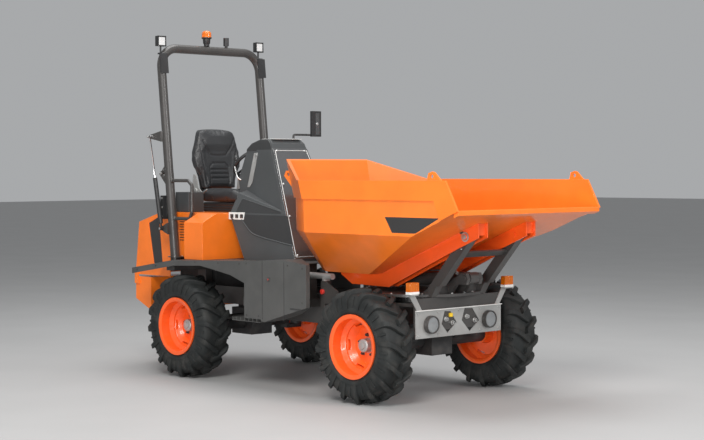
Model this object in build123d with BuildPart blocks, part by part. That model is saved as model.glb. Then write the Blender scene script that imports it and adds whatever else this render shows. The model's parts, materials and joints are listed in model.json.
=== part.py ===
from build123d import *
import os
from math import atan2, cos, degrees, hypot, radians, sin, tan

# Swivel-skip site dumper, rigid chassis, rear-wheel steering.
# Millimetres.  +X forward, +Y to the machine's left, +Z up; the origin is on the
# ground under the middle of the machine.

os.makedirs("parts", exist_ok=True)

# ---------------------------------------------------------------- driving sizes
LENGTH = 3732.0          # skip lip to rear of hood
WHEELBASE = 1900.0
TRACK = 1215.0           # between tyre centre planes
TYRE_R = 379.0           # over the lug tips
TYRE_W = 260.0
LUG_DEPTH = 26.0
RIM_R = 194.0            # bead seat
RIM_LIP_R = 213.0
RIM_LIP_OUT = 122.0      # lip plane, outboard of the tyre's centre plane
DISC_IN = 28.0           # wheel disc, inboard of the tyre's centre plane
DISC_T = 10.0
HUB_R = 44.0
SPINDLE_R = 34.0
BOLT_PCD = 140.0
BOLT_COUNT = 5

RUN_GAP = 0.3            # running clearance on a radius
SEAT_GAP = 0.3           # between pieces that only rest on each other
EYE_GAP = 1.0            # beside an eye that is left open

FRONT_X = LENGTH / 2
REAR_X = -LENGTH / 2
FRONT_AXLE_X = WHEELBASE / 2
REAR_AXLE_X = -WHEELBASE / 2
WHEEL_Y = TRACK / 2
AXLE_Z = TYRE_R

# skip
SKIP_FLOOR_Z = 830.0
SKIP_FOLD_Z = 1112.0
SKIP_SIDE_Z = 1464.0     # top of the side rims
SKIP_BACK_Z = 1610.0     # top of the rear guard
SKIP_LIP_Z = 1276.0
SKIP_HALF_W = 690.0
SKIP_FLOOR_HALF_W = 400.0
SKIP_BACK_HALF_W = 379.0
SKIP_FLOOR_BACK_HALF_W = 300.0
SKIP_BACK_X = 12.0
SKIP_GUARD_LEAN = 89.0   # how far the rear guard leans back at its top
SKIP_FLOOR_BACK_X = 205.0
SKIP_RAMP_X = 780.0      # where floor turns into ramp
SKIP_NOSE_TOP_X = 1765.0 # top front corner of the sides
SKIP_WALL = 6.0
RIM_BAND_H = 126.0
RIM_BAND_OUT = 13.0
RIM_BAND_FRONT_W = 150.0
LIP_BAR_H, LIP_BAR_W = 26.0, 40.0
EYE_X = 1650.0          # lifting eyes
EYE_T = 12.0
EYE_HOLE_R = 13.0

# swivel, tip and their cylinders
SLEW_X = 850.0
HINGE_X = 1545.0
HINGE_Z = 1100.0
HINGE_PIN_R = 20.0
TIP_MAX = 65.0
SWING_MAX = 90.0
RIB_Y = 282.0            # outer face of the outer rib plates
RIB_T = 12.0
ARM_OUT_Y = 264.0
ARM_IN_Y = 204.0
DECK_Z = 650.0
SLEW_RING_R = 310.0
SLEW_RING_H = 40.0
TABLE_R = 440.0
TABLE_T = 18.0

STEER_MAX = 32.0
KINGPIN_Y = 448.0

# chassis
RAIL_Y = 232.0           # outer face of the side rails
RAIL_T = 12.0
RAIL_FRONT_Z = 500.0     # underside of the rails over the front axle

# upper structure
PLATFORM_Z = 870.0
FENDER_Y = 740.0
ROPS_Y = 487.0
ROPS_TUBE_R = 35.0
ROPS_TUBE_T = 5.0
ROPS_FOOT_X = -1275.0
ROPS_FOOT_Z = 862.0
ROPS_FOLD_Z = 1510.0
ROPS_TOP_Z = 2476.0      # centre of the top bar
ROPS_LEAN = 6.2          # degrees back from upright
ROPS_FOLD = 85.0
HOOD_HALF_W = 438.0
HOOD_OPEN = 65.0
SHEET = 5.0


# ---------------------------------------------------------------- helpers
def side_profile(points, y_from, y_to, mode=Mode.ADD):
    """Extrude a closed X-Z outline across the machine, from one Y to another."""
    with BuildSketch(Plane.XZ.offset(-y_from)) as outline:
        with BuildLine():
            Polyline(*points, close=True)
        make_face()
    extrude(outline.sketch, amount=y_from - y_to, mode=mode)


def plan_profile(points, z_from, z_to, mode=Mode.ADD):
    """Extrude a closed X-Y outline upwards, from one Z to another."""
    with BuildSketch(Plane.XY.offset(z_from)) as outline:
        with BuildLine():
            Polyline(*points, close=True)
        make_face()
    extrude(outline.sketch, amount=z_to - z_from, mode=mode)


def cross_profile(points, x_from, x_to, mode=Mode.ADD):
    """Extrude a closed Y-Z outline along the machine, from one X to another."""
    with BuildSketch(Plane.YZ.offset(x_from)) as outline:
        with BuildLine():
            Polyline(*points, close=True)
        make_face()
    extrude(outline.sketch, amount=x_to - x_from, mode=mode)


def block(x_span, y_span, z_span, mode=Mode.ADD):
    """Box between pairs of X, Y and Z."""
    (x0, x1), (y0, y1), (z0, z1) = x_span, y_span, z_span
    with Locations(((x0 + x1) / 2, (y0 + y1) / 2, (z0 + z1) / 2)):
        Box(x1 - x0, y1 - y0, z1 - z0, mode=mode)


def pin_y(x, z, radius, y_from, y_to, mode=Mode.ADD):
    """Round bar along Y."""
    with Locations(Location((x, (y_from + y_to) / 2, z), (90, 0, 0))):
        Cylinder(radius, abs(y_to - y_from), mode=mode)


def pin_z(x, y, radius, z_from, z_to, mode=Mode.ADD):
    """Round bar along Z."""
    with Locations((x, y, (z_from + z_to) / 2)):
        Cylinder(radius, abs(z_to - z_from), mode=mode)


def both_sides(y_span):
    """A pair of Y spans, right and left."""
    low, high = y_span
    return ((-high, -low), (low, high))


def save(piece, name):
    """Label a finished piece and write its file."""
    piece.part.label = name
    export_step(piece.part, f"parts/{name}.step")


# ---------------------------------------------------------------- wheels
CASING_T = 20.0
BEAD_OUT = RIM_LIP_OUT - 14 - SEAT_GAP
CROWN_R = TYRE_R - LUG_DEPTH
# outside of the casing: distance from the centre plane, and radius
TYRE_OUTSIDE = (
    (BEAD_OUT, RIM_R + SEAT_GAP),
    (BEAD_OUT, RIM_LIP_R + SEAT_GAP),
    (0.94 * TYRE_W / 2, 0.62 * TYRE_R),
    (TYRE_W / 2, 0.76 * TYRE_R),
    (0.72 * TYRE_W / 2, CROWN_R),
)
# inside of the casing
TYRE_INSIDE = (
    (0.60 * TYRE_W / 2, CROWN_R - CASING_T),
    (TYRE_W / 2 - CASING_T, 0.74 * TYRE_R),
    (BEAD_OUT - CASING_T, RIM_R + SEAT_GAP),
)


def wheel_plane(axle_x, side):
    """Section plane through a wheel's axis: local X outboard, local Y up."""
    return Plane(origin=(axle_x, side * WHEEL_Y, AXLE_Z), x_dir=(0, side, 0), z_dir=(side, 0, 0))


def turned(section, axle_x, side, mode=Mode.ADD):
    """Turn an (outboard, radius) outline about a wheel's axis."""
    with BuildSketch(wheel_plane(axle_x, side)) as half:
        with BuildLine():
            Polyline(*section, close=True)
        make_face()
    revolve(half.sketch, axis=Axis((axle_x, side * WHEEL_Y, AXLE_Z), (0, 1, 0)), mode=mode)


LIP = RIM_LIP_OUT
LIP_T = 12.0
WELL_R = 164.0
RIM_T = 9.0
HUB_END = 22.0
# outboard distance and radius
RIM_OUTSIDE = (
    (LIP, RIM_LIP_R), (LIP - LIP_T, RIM_LIP_R), (LIP - LIP_T - 2, RIM_R), (40, RIM_R), (22, WELL_R),
    (-40, WELL_R), (-58, RIM_R), (2 + LIP_T - LIP, RIM_R), (LIP_T - LIP, RIM_LIP_R), (-LIP, RIM_LIP_R),
)
RIM_INSIDE = (
    (-LIP, RIM_LIP_R - RIM_T), (6 - LIP, RIM_R - RIM_T), (-62, RIM_R - RIM_T), (-46, WELL_R - RIM_T),
    (-DISC_IN - DISC_T, WELL_R - RIM_T), (-DISC_IN - DISC_T, HUB_R + 34), (-100, HUB_R + 26),
    (-100, SPINDLE_R + RUN_GAP), (HUB_END - 14, SPINDLE_R + RUN_GAP), (HUB_END - 14, 0), (HUB_END, 0),
    (HUB_END, HUB_R - 8), (HUB_END - 8, HUB_R), (-DISC_IN, HUB_R), (-DISC_IN, 118), (-4, 136),
    (14, WELL_R - RIM_T), (26, WELL_R - RIM_T), (44, RIM_R - RIM_T), (LIP - 6, RIM_R - RIM_T),
    (LIP, RIM_LIP_R - RIM_T),
)

# one lug seen from outside the tread: (forward, outboard), from the centre line to the shoulder
LUG_PLAN = ((52, -10), (-8, 86), (-28, TYRE_W / 2), (-72, TYRE_W / 2), (-52, 78), (10, -14))
LUG_COUNT = 16           # on each side, half a pitch apart
LUG_ROOT_R = 0.76 * TYRE_R
LUG_PITCH = radians(180.0 / LUG_COUNT)
# the same lug seen along the tread: (outboard, radius), with its leading tips at the tyre's radius
LUG_TOP_R = (TYRE_R - LUG_PLAN[0][0] * sin(LUG_PITCH)) / cos(LUG_PITCH)
LUG_RISE = (
    (-14, LUG_ROOT_R), (-14, LUG_TOP_R), (0.72 * TYRE_W / 2, LUG_TOP_R - 3), (0.98 * TYRE_W / 2, 0.90 * TYRE_R),
    (0.98 * TYRE_W / 2, LUG_ROOT_R),
)
SLOT_LENGTH, SLOT_H, SLOT_R = 72.0, 12.0, 143.0


def wheel_lug(side):
    """One lug at the top of the front right wheel, leaning to one side."""
    with BuildPart() as form:
        plan_profile([(FRONT_AXLE_X + forward, side * out - WHEEL_Y) for forward, out in LUG_PLAN],
                     AXLE_Z + LUG_ROOT_R, AXLE_Z + TYRE_R)
        with BuildPart(mode=Mode.INTERSECT):
            cross_profile([(side * out - WHEEL_Y, AXLE_Z + radius) for out, radius in LUG_RISE],
                          FRONT_AXLE_X - TYRE_R, FRONT_AXLE_X + TYRE_R)
    return form.part


FRONT_RIGHT_SPIN = Axis((FRONT_AXLE_X, -WHEEL_Y, AXLE_Z), (0, 1, 0))
with BuildPart() as lugs:
    for side in (-1, 1):
        lug = wheel_lug(side)
        for turn in range(LUG_COUNT):
            add(lug.rotate(FRONT_RIGHT_SPIN, 360.0 / LUG_COUNT * (turn + (0.5 if side > 0 else 0.0))))

with BuildPart() as tyre:
    turned(TYRE_OUTSIDE + tuple((-out, radius) for out, radius in reversed(TYRE_OUTSIDE)), FRONT_AXLE_X, -1)
    add(lugs.part)
    turned(TYRE_INSIDE + tuple((-out, radius) for out, radius in reversed(TYRE_INSIDE)), FRONT_AXLE_X, -1,
           mode=Mode.SUBTRACT)

for axle_name, axle_x in (("front", FRONT_AXLE_X), ("rear", REAR_AXLE_X)):
    for side_name, side in (("left", 1), ("right", -1)):
        place = Location((axle_x - FRONT_AXLE_X, side * WHEEL_Y + WHEEL_Y, 0))
        with BuildPart() as wheel_tyre:
            add(tyre.part.moved(place))
        save(wheel_tyre, f"tyre_{axle_name}_{side_name}")

        with BuildPart() as wheel_rim:
            turned(RIM_OUTSIDE + RIM_INSIDE, axle_x, side)
            for turn in range(BOLT_COUNT):
                angle = radians(360.0 / BOLT_COUNT * turn + 70)
                centre = (axle_x - SLOT_R * cos(angle), side * (WHEEL_Y - 10), AXLE_Z + SLOT_R * sin(angle))
                with Locations(Location(centre, (0, degrees(angle) - 90, 0))):
                    Box(SLOT_LENGTH, 90, SLOT_H, mode=Mode.SUBTRACT)
        save(wheel_rim, f"rim_{axle_name}_{side_name}")

# ---------------------------------------------------------------- axles
AXLE_TUBE_R = 58.0
DIFF_R = 120.0
SPINDLE_END = WHEEL_Y + HUB_END - 14 - SEAT_GAP * 3
HUB_BACK = WHEEL_Y - 100 - SEAT_GAP * 3

with BuildPart() as front_axle:
    pin_y(FRONT_AXLE_X, AXLE_Z, AXLE_TUBE_R, -HUB_BACK, HUB_BACK)
    pin_y(FRONT_AXLE_X, AXLE_Z, SPINDLE_R, -SPINDLE_END, SPINDLE_END)
    with Locations((FRONT_AXLE_X, 0, AXLE_Z)):
        Box(2 * DIFF_R, 200, 2 * DIFF_R - 40)
    # saddles bolted up to the side rails
    for y_span in both_sides((RAIL_Y - 50, RAIL_Y + 14)):
        block((FRONT_AXLE_X - 70, FRONT_AXLE_X + 70), y_span, (AXLE_Z, RAIL_FRONT_Z - SEAT_GAP))
save(front_axle, "front_axle")

KINGPIN_R = 26.0
YOKE_H = 84.0            # half the height of the steering yokes
ARM_REACH = 145.0
ARM_TOP_Z = AXLE_Z + 30
LINK_R = 16.0

YOKE_IN = KINGPIN_Y - 122
YOKE_T = 26.0

with BuildPart() as rear_axle:
    pin_y(REAR_AXLE_X, AXLE_Z, AXLE_TUBE_R, -YOKE_IN, YOKE_IN)
    with Locations((REAR_AXLE_X, 0, AXLE_Z)):
        Box(2 * DIFF_R, 200, 2 * DIFF_R - 40)
    for side in (-1, 1):
        for z_span in ((AXLE_Z + 56, AXLE_Z + YOKE_H), (AXLE_Z - YOKE_H, AXLE_Z - 56)):
            y_span = sorted((side * YOKE_IN, side * (KINGPIN_Y + 26)))
            block((REAR_AXLE_X - 36, REAR_AXLE_X + 36), y_span, z_span)
        y_span = sorted((side * YOKE_IN, side * (YOKE_IN + YOKE_T)))
        block((REAR_AXLE_X - 36, REAR_AXLE_X + 36), y_span, (AXLE_Z - YOKE_H, AXLE_Z + YOKE_H))
        pin_z(REAR_AXLE_X, side * KINGPIN_Y, KINGPIN_R - 6, AXLE_Z + 40, AXLE_Z + YOKE_H)
        pin_z(REAR_AXLE_X, side * KINGPIN_Y, KINGPIN_R - 6, AXLE_Z - YOKE_H, AXLE_Z - 40)
    # oscillation pivot under the frame
    block((REAR_AXLE_X - 90, REAR_AXLE_X + 90), (-60, 60), (AXLE_Z + 80, 520 - SEAT_GAP))
    # steering cylinder on brackets ahead of the beam
    cylinder_x = REAR_AXLE_X + ARM_REACH
    pin_y(cylinder_x, ARM_TOP_Z + 24, 34, -170, 170)
    block((REAR_AXLE_X + 60, cylinder_x), (-110, -80), (AXLE_Z - 20, ARM_TOP_Z + 30))
    block((REAR_AXLE_X + 60, cylinder_x), (80, 110), (AXLE_Z - 20, ARM_TOP_Z + 30))
    pin_y(cylinder_x, ARM_TOP_Z + 24, LINK_R + RUN_GAP, -171, 171, mode=Mode.SUBTRACT)
save(rear_axle, "rear_axle")

for side_name, side in (("left", 1), ("right", -1)):
    with BuildPart() as knuckle:
        with Locations((REAR_AXLE_X, side * KINGPIN_Y, AXLE_Z)):
            Cylinder(44, 2 * (56 - EYE_GAP))
        pin_y(REAR_AXLE_X, AXLE_Z, 50, side * KINGPIN_Y, side * HUB_BACK)
        pin_y(REAR_AXLE_X, AXLE_Z, SPINDLE_R, side * KINGPIN_Y, side * SPINDLE_END)
        arm = [(REAR_AXLE_X, side * (KINGPIN_Y - 24)), (REAR_AXLE_X, side * (KINGPIN_Y + 16)),
               (REAR_AXLE_X + ARM_REACH + 20, side * (KINGPIN_Y - 32)),
               (REAR_AXLE_X + ARM_REACH + 20, side * (KINGPIN_Y - 68))]
        plan_profile(arm, ARM_TOP_Z - 20, ARM_TOP_Z - EYE_GAP)
        pin_z(REAR_AXLE_X, side * KINGPIN_Y, KINGPIN_R - 6 + RUN_GAP, AXLE_Z + 38, AXLE_Z + 60,
              mode=Mode.SUBTRACT)
        pin_z(REAR_AXLE_X, side * KINGPIN_Y, KINGPIN_R - 6 + RUN_GAP, AXLE_Z - 60, AXLE_Z - 38,
              mode=Mode.SUBTRACT)
    save(knuckle, f"knuckle_{side_name}")

with BuildPart() as steering_rod:
    pin_y(cylinder_x, ARM_TOP_Z + 24, LINK_R, -KINGPIN_Y + 50, KINGPIN_Y - 50)
    for side in (-1, 1):
        pin_z(cylinder_x, side * (KINGPIN_Y - 50), 24, ARM_TOP_Z, ARM_TOP_Z + 44)
save(steering_rod, "steering_rod")

# ---------------------------------------------------------------- chassis
PANEL_X = 1225.0
PANEL_T = 6.0
NOSE_X = PANEL_X - SEAT_GAP
PANEL_HALF_W = 418.0
PANEL_Z = (426.0, 609.0)
NOSE_Z = 688.0
COUNTERWEIGHT_X = REAR_X + 206
POST_X, POST_Y, POST_Z = 345.0, 430.0, 764.0
OUTRIGGER_Y = 565.0
BEAM_TOP_Z = 805.0
ENGINE_X = (-1640.0, -1180.0)
ENGINE_HALF_W = 165.0
ENGINE_Z = (560.0, 1020.0)

with BuildPart() as chassis_frame:
    rail = [(NOSE_X, RAIL_FRONT_Z), (NOSE_X, DECK_Z), (-1440, DECK_Z), (-1440, 520),
            (-400, 520), (-300, 440), (560, 440), (640, RAIL_FRONT_Z)]
    for y_span in both_sides((RAIL_Y - RAIL_T, RAIL_Y)):
        side_profile(rail, *y_span)
    # deck plate under the slew ring, front plate, cross members
    block((SLEW_X - 380, NOSE_X), (-PANEL_HALF_W + 36, PANEL_HALF_W - 36),
          (DECK_Z - 20, DECK_Z))
    block((NOSE_X - 14, NOSE_X), (-PANEL_HALF_W, PANEL_HALF_W), (470, NOSE_Z))
    for x_cross in (600, 100, -400):
        block((x_cross - 8, x_cross + 8), (-RAIL_Y + RAIL_T, RAIL_Y - RAIL_T), (530, DECK_Z))
    block((REAR_AXLE_X - 100, REAR_AXLE_X + 100), (-RAIL_Y + RAIL_T, RAIL_Y - RAIL_T), (520, 560))
    # ties that carry the counterweight
    block((COUNTERWEIGHT_X, -1440), (-RAIL_Y, -RAIL_Y + 60), (530, DECK_Z))
    block((COUNTERWEIGHT_X, -1440), (RAIL_Y - 60, RAIL_Y), (530, DECK_Z))
    # outriggers and webs that carry the platform and the side boxes
    for x_out in (-330, 60):
        for y_span in both_sides((RAIL_Y, OUTRIGGER_Y)):
            block((x_out - 30, x_out + 30), y_span, (560, 620))
            block((x_out - 4, x_out + 4), y_span, (620, PLATFORM_Z - SHEET))
    # engine bearer, and the columns and beams under the roll-over posts
    block((-1440, ENGINE_X[1]), (-RAIL_Y + RAIL_T, RAIL_Y - RAIL_T), (ENGINE_Z[0] - 20, ENGINE_Z[0]))
    for y_span in both_sides((RAIL_Y - 60, RAIL_Y)):
        block((ROPS_FOOT_X - 50, ROPS_FOOT_X + 50), y_span, (DECK_Z - 1, BEAM_TOP_Z))
    for y_span in both_sides((RAIL_Y - 60, ROPS_Y + 45)):
        block((ROPS_FOOT_X - 50, ROPS_FOOT_X + 50), y_span, (BEAM_TOP_Z - 36, BEAM_TOP_Z))
    # posts behind the front wheels, with a gusset leaning forward
    for y_span in both_sides((RAIL_Y, POST_Y)):
        block((POST_X - 20, POST_X + 20), y_span, (560, DECK_Z))
    for y_span in both_sides((POST_Y - 60, POST_Y)):
        block((POST_X - 20, POST_X + 20), y_span, (DECK_Z - 1, POST_Z))
        side_profile([(POST_X + 20, DECK_Z - 40), (POST_X + 150, DECK_Z - 40), (POST_X + 150, 700),
                      (POST_X + 20, POST_Z)], min(y_span), min(y_span) + 10)
save(chassis_frame, "chassis_frame")

with BuildPart() as slew_ring:
    with Locations((SLEW_X, 0, DECK_Z + SLEW_RING_H / 2)):
        Cylinder(SLEW_RING_R, SLEW_RING_H)
        Cylinder(SLEW_RING_R - 60, SLEW_RING_H, mode=Mode.SUBTRACT)
save(slew_ring, "slew_ring")

TABLE_Z = DECK_Z + SLEW_RING_H + SEAT_GAP
TABLE_TOP = TABLE_Z + TABLE_T

# headlight panel with two six-sided openings and the bars that carry the marker lamps
PANEL_OPENINGS = (
    [(-172, 510), (-143, 594), (-85, 590), (-26, 513), (-114, 446)],
    [(23, 523), (53, 602), (132, 597), (197, 511), (102, 443)],
)
LAMP_Y = 283.0
LAMP_R = 60.0
LAMP_Z = 514.0
MARKER_Y = 463.0
MARKER_Z = 722.0
MARKER_BASE, MARKER_LENS = 20.0, 58.0
MARKER_REACH = 46.0
with BuildPart() as headlight_panel:
    block((PANEL_X, PANEL_X + PANEL_T), (-PANEL_HALF_W, PANEL_HALF_W), PANEL_Z)
    for opening in PANEL_OPENINGS:
        cross_profile(opening, PANEL_X - 1, PANEL_X + PANEL_T + 1, mode=Mode.SUBTRACT)
    for side in (-1, 1):
        bar = [(side * 350, 600), (side * 395, 600), (side * (MARKER_Y + 20), MARKER_Z),
               (side * (MARKER_Y - 35), MARKER_Z)]
        cross_profile(bar, PANEL_X, PANEL_X + PANEL_T)
        y_span = sorted((side * (MARKER_Y - 35), side * (MARKER_Y + 35)))
        block((PANEL_X, PANEL_X + MARKER_REACH), y_span, (MARKER_Z - PANEL_T, MARKER_Z))
save(headlight_panel, "headlight_panel")

with BuildPart() as headlights:
    for side in (-1, 1):
        with Locations(Location((PANEL_X + PANEL_T + SEAT_GAP, side * LAMP_Y, LAMP_Z), (0, 90, 0))):
            Cylinder(LAMP_R, 34, align=(Align.CENTER, Align.CENTER, Align.MIN))
save(headlights, "headlights")

with BuildPart() as marker_lamps:
    for side in (-1, 1):
        for width, foot, height in ((90, SEAT_GAP, MARKER_BASE), (84, SEAT_GAP + MARKER_BASE, MARKER_LENS)):
            with Locations((PANEL_X + MARKER_REACH / 2, side * MARKER_Y, MARKER_Z + foot)):
                Box(width / 2, width, height, align=(Align.CENTER, Align.CENTER, Align.MIN))
save(marker_lamps, "marker_lamps")

# ---------------------------------------------------------------- swing frame
TIP_BASE_X, TIP_BASE_Z = 1340.0, 812.0
TIP_EYE_X, TIP_EYE_Z = 540.0, 765.0
BARREL_R = 42.0
ROD_R = 27.0
TIP_PIN_R = 20.0
ARM_BOSS_R = 36.0

with BuildPart() as swing_frame:
    with Locations((SLEW_X, 0, TABLE_Z + TABLE_T / 2)):
        Cylinder(TABLE_R, TABLE_T)
    arm = [(1085, TABLE_Z), (1225, TABLE_Z), (1272, 768), (1300, 768), (1334, 808), (HINGE_X + 26, HINGE_Z - 24),
           (HINGE_X, HINGE_Z + ARM_BOSS_R - 4), (HINGE_X - 30, HINGE_Z + 20), (1190, 745)]
    for y_span in both_sides((ARM_IN_Y, ARM_OUT_Y)):
        side_profile(arm, *y_span)
    for side in (-1, 1):
        pin_y(HINGE_X, HINGE_Z, ARM_BOSS_R, side * ARM_IN_Y, side * ARM_OUT_Y)
    pin_y(HINGE_X, HINGE_Z, HINGE_PIN_R + RUN_GAP, -ARM_OUT_Y - 1, ARM_OUT_Y + 1, mode=Mode.SUBTRACT)
    # cross plate between the arms, with its folded front edge
    side_profile([(1424, 968), (1470, 1002), (1478, 992), (1432, 958)], -ARM_IN_Y, ARM_IN_Y)
    # ears that hold the tip cylinder
    for y_span in both_sides((BARREL_R + 6, BARREL_R + 34)):
        side_profile([(1085, TABLE_TOP - 2), (1225, TABLE_TOP - 2), (1272, 770), (TIP_BASE_X + 20, 770),
                      (TIP_BASE_X + 36, TIP_BASE_Z - 6), (TIP_BASE_X + 20, TIP_BASE_Z + 34),
                      (TIP_BASE_X - 24, TIP_BASE_Z + 34), (1150, 745)], *y_span)
    for y_span in both_sides((BARREL_R + 34, ARM_IN_Y)):
        block((1190, 1204), y_span, (TABLE_TOP - 2, 760))
    pin_y(TIP_BASE_X, TIP_BASE_Z, TIP_PIN_R + RUN_GAP, -BARREL_R - 40, BARREL_R + 40, mode=Mode.SUBTRACT)
save(swing_frame, "swing_frame")

# ---------------------------------------------------------------- tip cylinder
EYE_R = 32.0
BARREL_END = 700.0
ROD_START = 80.0
CLOSED = hypot(TIP_EYE_X - TIP_BASE_X, TIP_EYE_Z - TIP_BASE_Z)
TIP_AXIS = Vector(TIP_EYE_X - TIP_BASE_X, 0, TIP_EYE_Z - TIP_BASE_Z).normalized()
TIP_LINE = Plane(origin=(TIP_BASE_X, 0, TIP_BASE_Z), x_dir=(0, 1, 0), z_dir=TIP_AXIS)
ALONG = (Align.CENTER, Align.CENTER, Align.MIN)

with BuildPart() as tip_barrel:
    pin_y(TIP_BASE_X, TIP_BASE_Z, 38, -BARREL_R, BARREL_R)
    with Locations(TIP_LINE.offset(20)):
        Cylinder(BARREL_R, BARREL_END - 20, align=ALONG)
    with Locations(TIP_LINE.offset(ROD_START - 10)):
        Cylinder(ROD_R + RUN_GAP, BARREL_END, align=ALONG, mode=Mode.SUBTRACT)
    pin_y(TIP_BASE_X, TIP_BASE_Z, TIP_PIN_R, -BARREL_R - 42, BARREL_R + 42)
save(tip_barrel, "tip_cylinder_barrel")

LUG_IN_Y = 42.0
with BuildPart() as tip_rod:
    with Locations(TIP_LINE.offset(ROD_START)):
        Cylinder(ROD_R, CLOSED - ROD_START, align=ALONG)
    pin_y(TIP_EYE_X, TIP_EYE_Z, EYE_R, -LUG_IN_Y + EYE_GAP, LUG_IN_Y - EYE_GAP)
    pin_y(TIP_EYE_X, TIP_EYE_Z, TIP_PIN_R, -LUG_IN_Y, LUG_IN_Y, mode=Mode.SUBTRACT)
save(tip_rod, "tip_cylinder_rod")

# where the cylinder stands with the skip fully tipped
tip = radians(TIP_MAX)
eye_x, eye_z = TIP_EYE_X - HINGE_X, TIP_EYE_Z - HINGE_Z
tipped_x = HINGE_X + eye_x * cos(tip) + eye_z * sin(tip)
tipped_z = HINGE_Z - eye_x * sin(tip) + eye_z * cos(tip)
stroke = hypot(tipped_x - TIP_BASE_X, tipped_z - TIP_BASE_Z) - CLOSED
turn = degrees(atan2(tipped_z - TIP_BASE_Z, TIP_BASE_X - tipped_x) - atan2(TIP_AXIS.Z, -TIP_AXIS.X))
print(f"tip cylinder: stroke {stroke:.2f} mm, barrel turns {turn:.3f} degrees in {TIP_MAX}")

# ---------------------------------------------------------------- skip
RAMP_SLOPE = (SKIP_LIP_Z - SKIP_FLOOR_Z) / (FRONT_X - SKIP_RAMP_X)
CHAMFER = (SKIP_HALF_W - SKIP_BACK_HALF_W) / 435.0   # sideways per length, rear corners
NOSE_SLOPE = (FRONT_X - SKIP_NOSE_TOP_X) / (SKIP_SIDE_Z - SKIP_LIP_Z)
BAND_Z = SKIP_SIDE_Z - RIM_BAND_H


def skip_plan(back_x, back_half_w, half_w):
    """Plan of the skip at one height, run on past its open front."""
    corner_x = back_x + (half_w - back_half_w) / CHAMFER
    ahead = FRONT_X + 400
    return [(back_x, -back_half_w), (corner_x, -half_w), (ahead, -half_w), (ahead, half_w),
            (corner_x, half_w), (back_x, back_half_w)]


def skip_form(inset, open_top):
    """The skip's outer form, or with an inset the form of its load space."""
    levels = (
        (SKIP_FLOOR_Z + inset, SKIP_FLOOR_BACK_X, SKIP_FLOOR_BACK_HALF_W, SKIP_FLOOR_HALF_W),
        (SKIP_FOLD_Z, SKIP_BACK_X, SKIP_BACK_HALF_W, SKIP_HALF_W),
        (BAND_Z, SKIP_BACK_X - 7, SKIP_BACK_HALF_W, SKIP_HALF_W),
        (SKIP_BACK_Z + open_top, SKIP_BACK_X - SKIP_GUARD_LEAN, SKIP_BACK_HALF_W, SKIP_HALF_W + 10),
    )
    with BuildPart() as form:
        for lower, upper in zip(levels, levels[1:]):
            faces = []
            for z, back_x, back_half_w, half_w in (lower, upper):
                with BuildSketch(Plane.XY.offset(z)) as section:
                    with BuildLine():
                        Polyline(*skip_plan(back_x, back_half_w, half_w), close=True)
                    make_face()
                    if inset:
                        offset(amount=-inset, kind=Kind.INTERSECTION, mode=Mode.REPLACE)
                faces.append(section.sketch)
            loft(faces, ruled=True)
        # ramp: cut away what lies under it
        rise = inset * hypot(1, RAMP_SLOPE)
        low = SKIP_FLOOR_Z - 200
        far = FRONT_X + 900
        side_profile([(SKIP_RAMP_X - 200 / RAMP_SLOPE, low + rise), (far, low + rise),
                      (far, SKIP_FLOOR_Z + RAMP_SLOPE * (far - SKIP_RAMP_X) + rise)],
                     -SKIP_HALF_W - 50, SKIP_HALF_W + 50, mode=Mode.SUBTRACT)
    return form.part


outer_form = skip_form(0, 0)
load_space = skip_form(SKIP_WALL, 60)

with BuildPart() as band_form:
    for z, back_x in ((BAND_Z, SKIP_BACK_X - 7), (SKIP_BACK_Z, SKIP_BACK_X - SKIP_GUARD_LEAN)):
        with BuildSketch(Plane.XY.offset(z)) as section:
            with BuildLine():
                Polyline(*skip_plan(back_x - RIM_BAND_OUT, SKIP_BACK_HALF_W + 6,
                                    SKIP_HALF_W + RIM_BAND_OUT), close=True)
            make_face()
    loft(ruled=True)

FRONT_CUT = [(FRONT_X, SKIP_LIP_Z), (SKIP_NOSE_TOP_X, SKIP_SIDE_Z), (SKIP_NOSE_TOP_X - 100 * NOSE_SLOPE,
             SKIP_SIDE_Z + 300), (FRONT_X + 900, SKIP_SIDE_Z + 300), (FRONT_X + 900, 700), (FRONT_X, 700)]
TOP_CUT = [(SKIP_BACK_X - SKIP_GUARD_LEAN - 40, SKIP_BACK_Z), (SKIP_BACK_X - SKIP_GUARD_LEAN, SKIP_BACK_Z),
           (322, SKIP_SIDE_Z), (FRONT_X + 900, SKIP_SIDE_Z), (FRONT_X + 900, SKIP_BACK_Z + 200),
           (SKIP_BACK_X - SKIP_GUARD_LEAN - 40, SKIP_BACK_Z + 200)]

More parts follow.
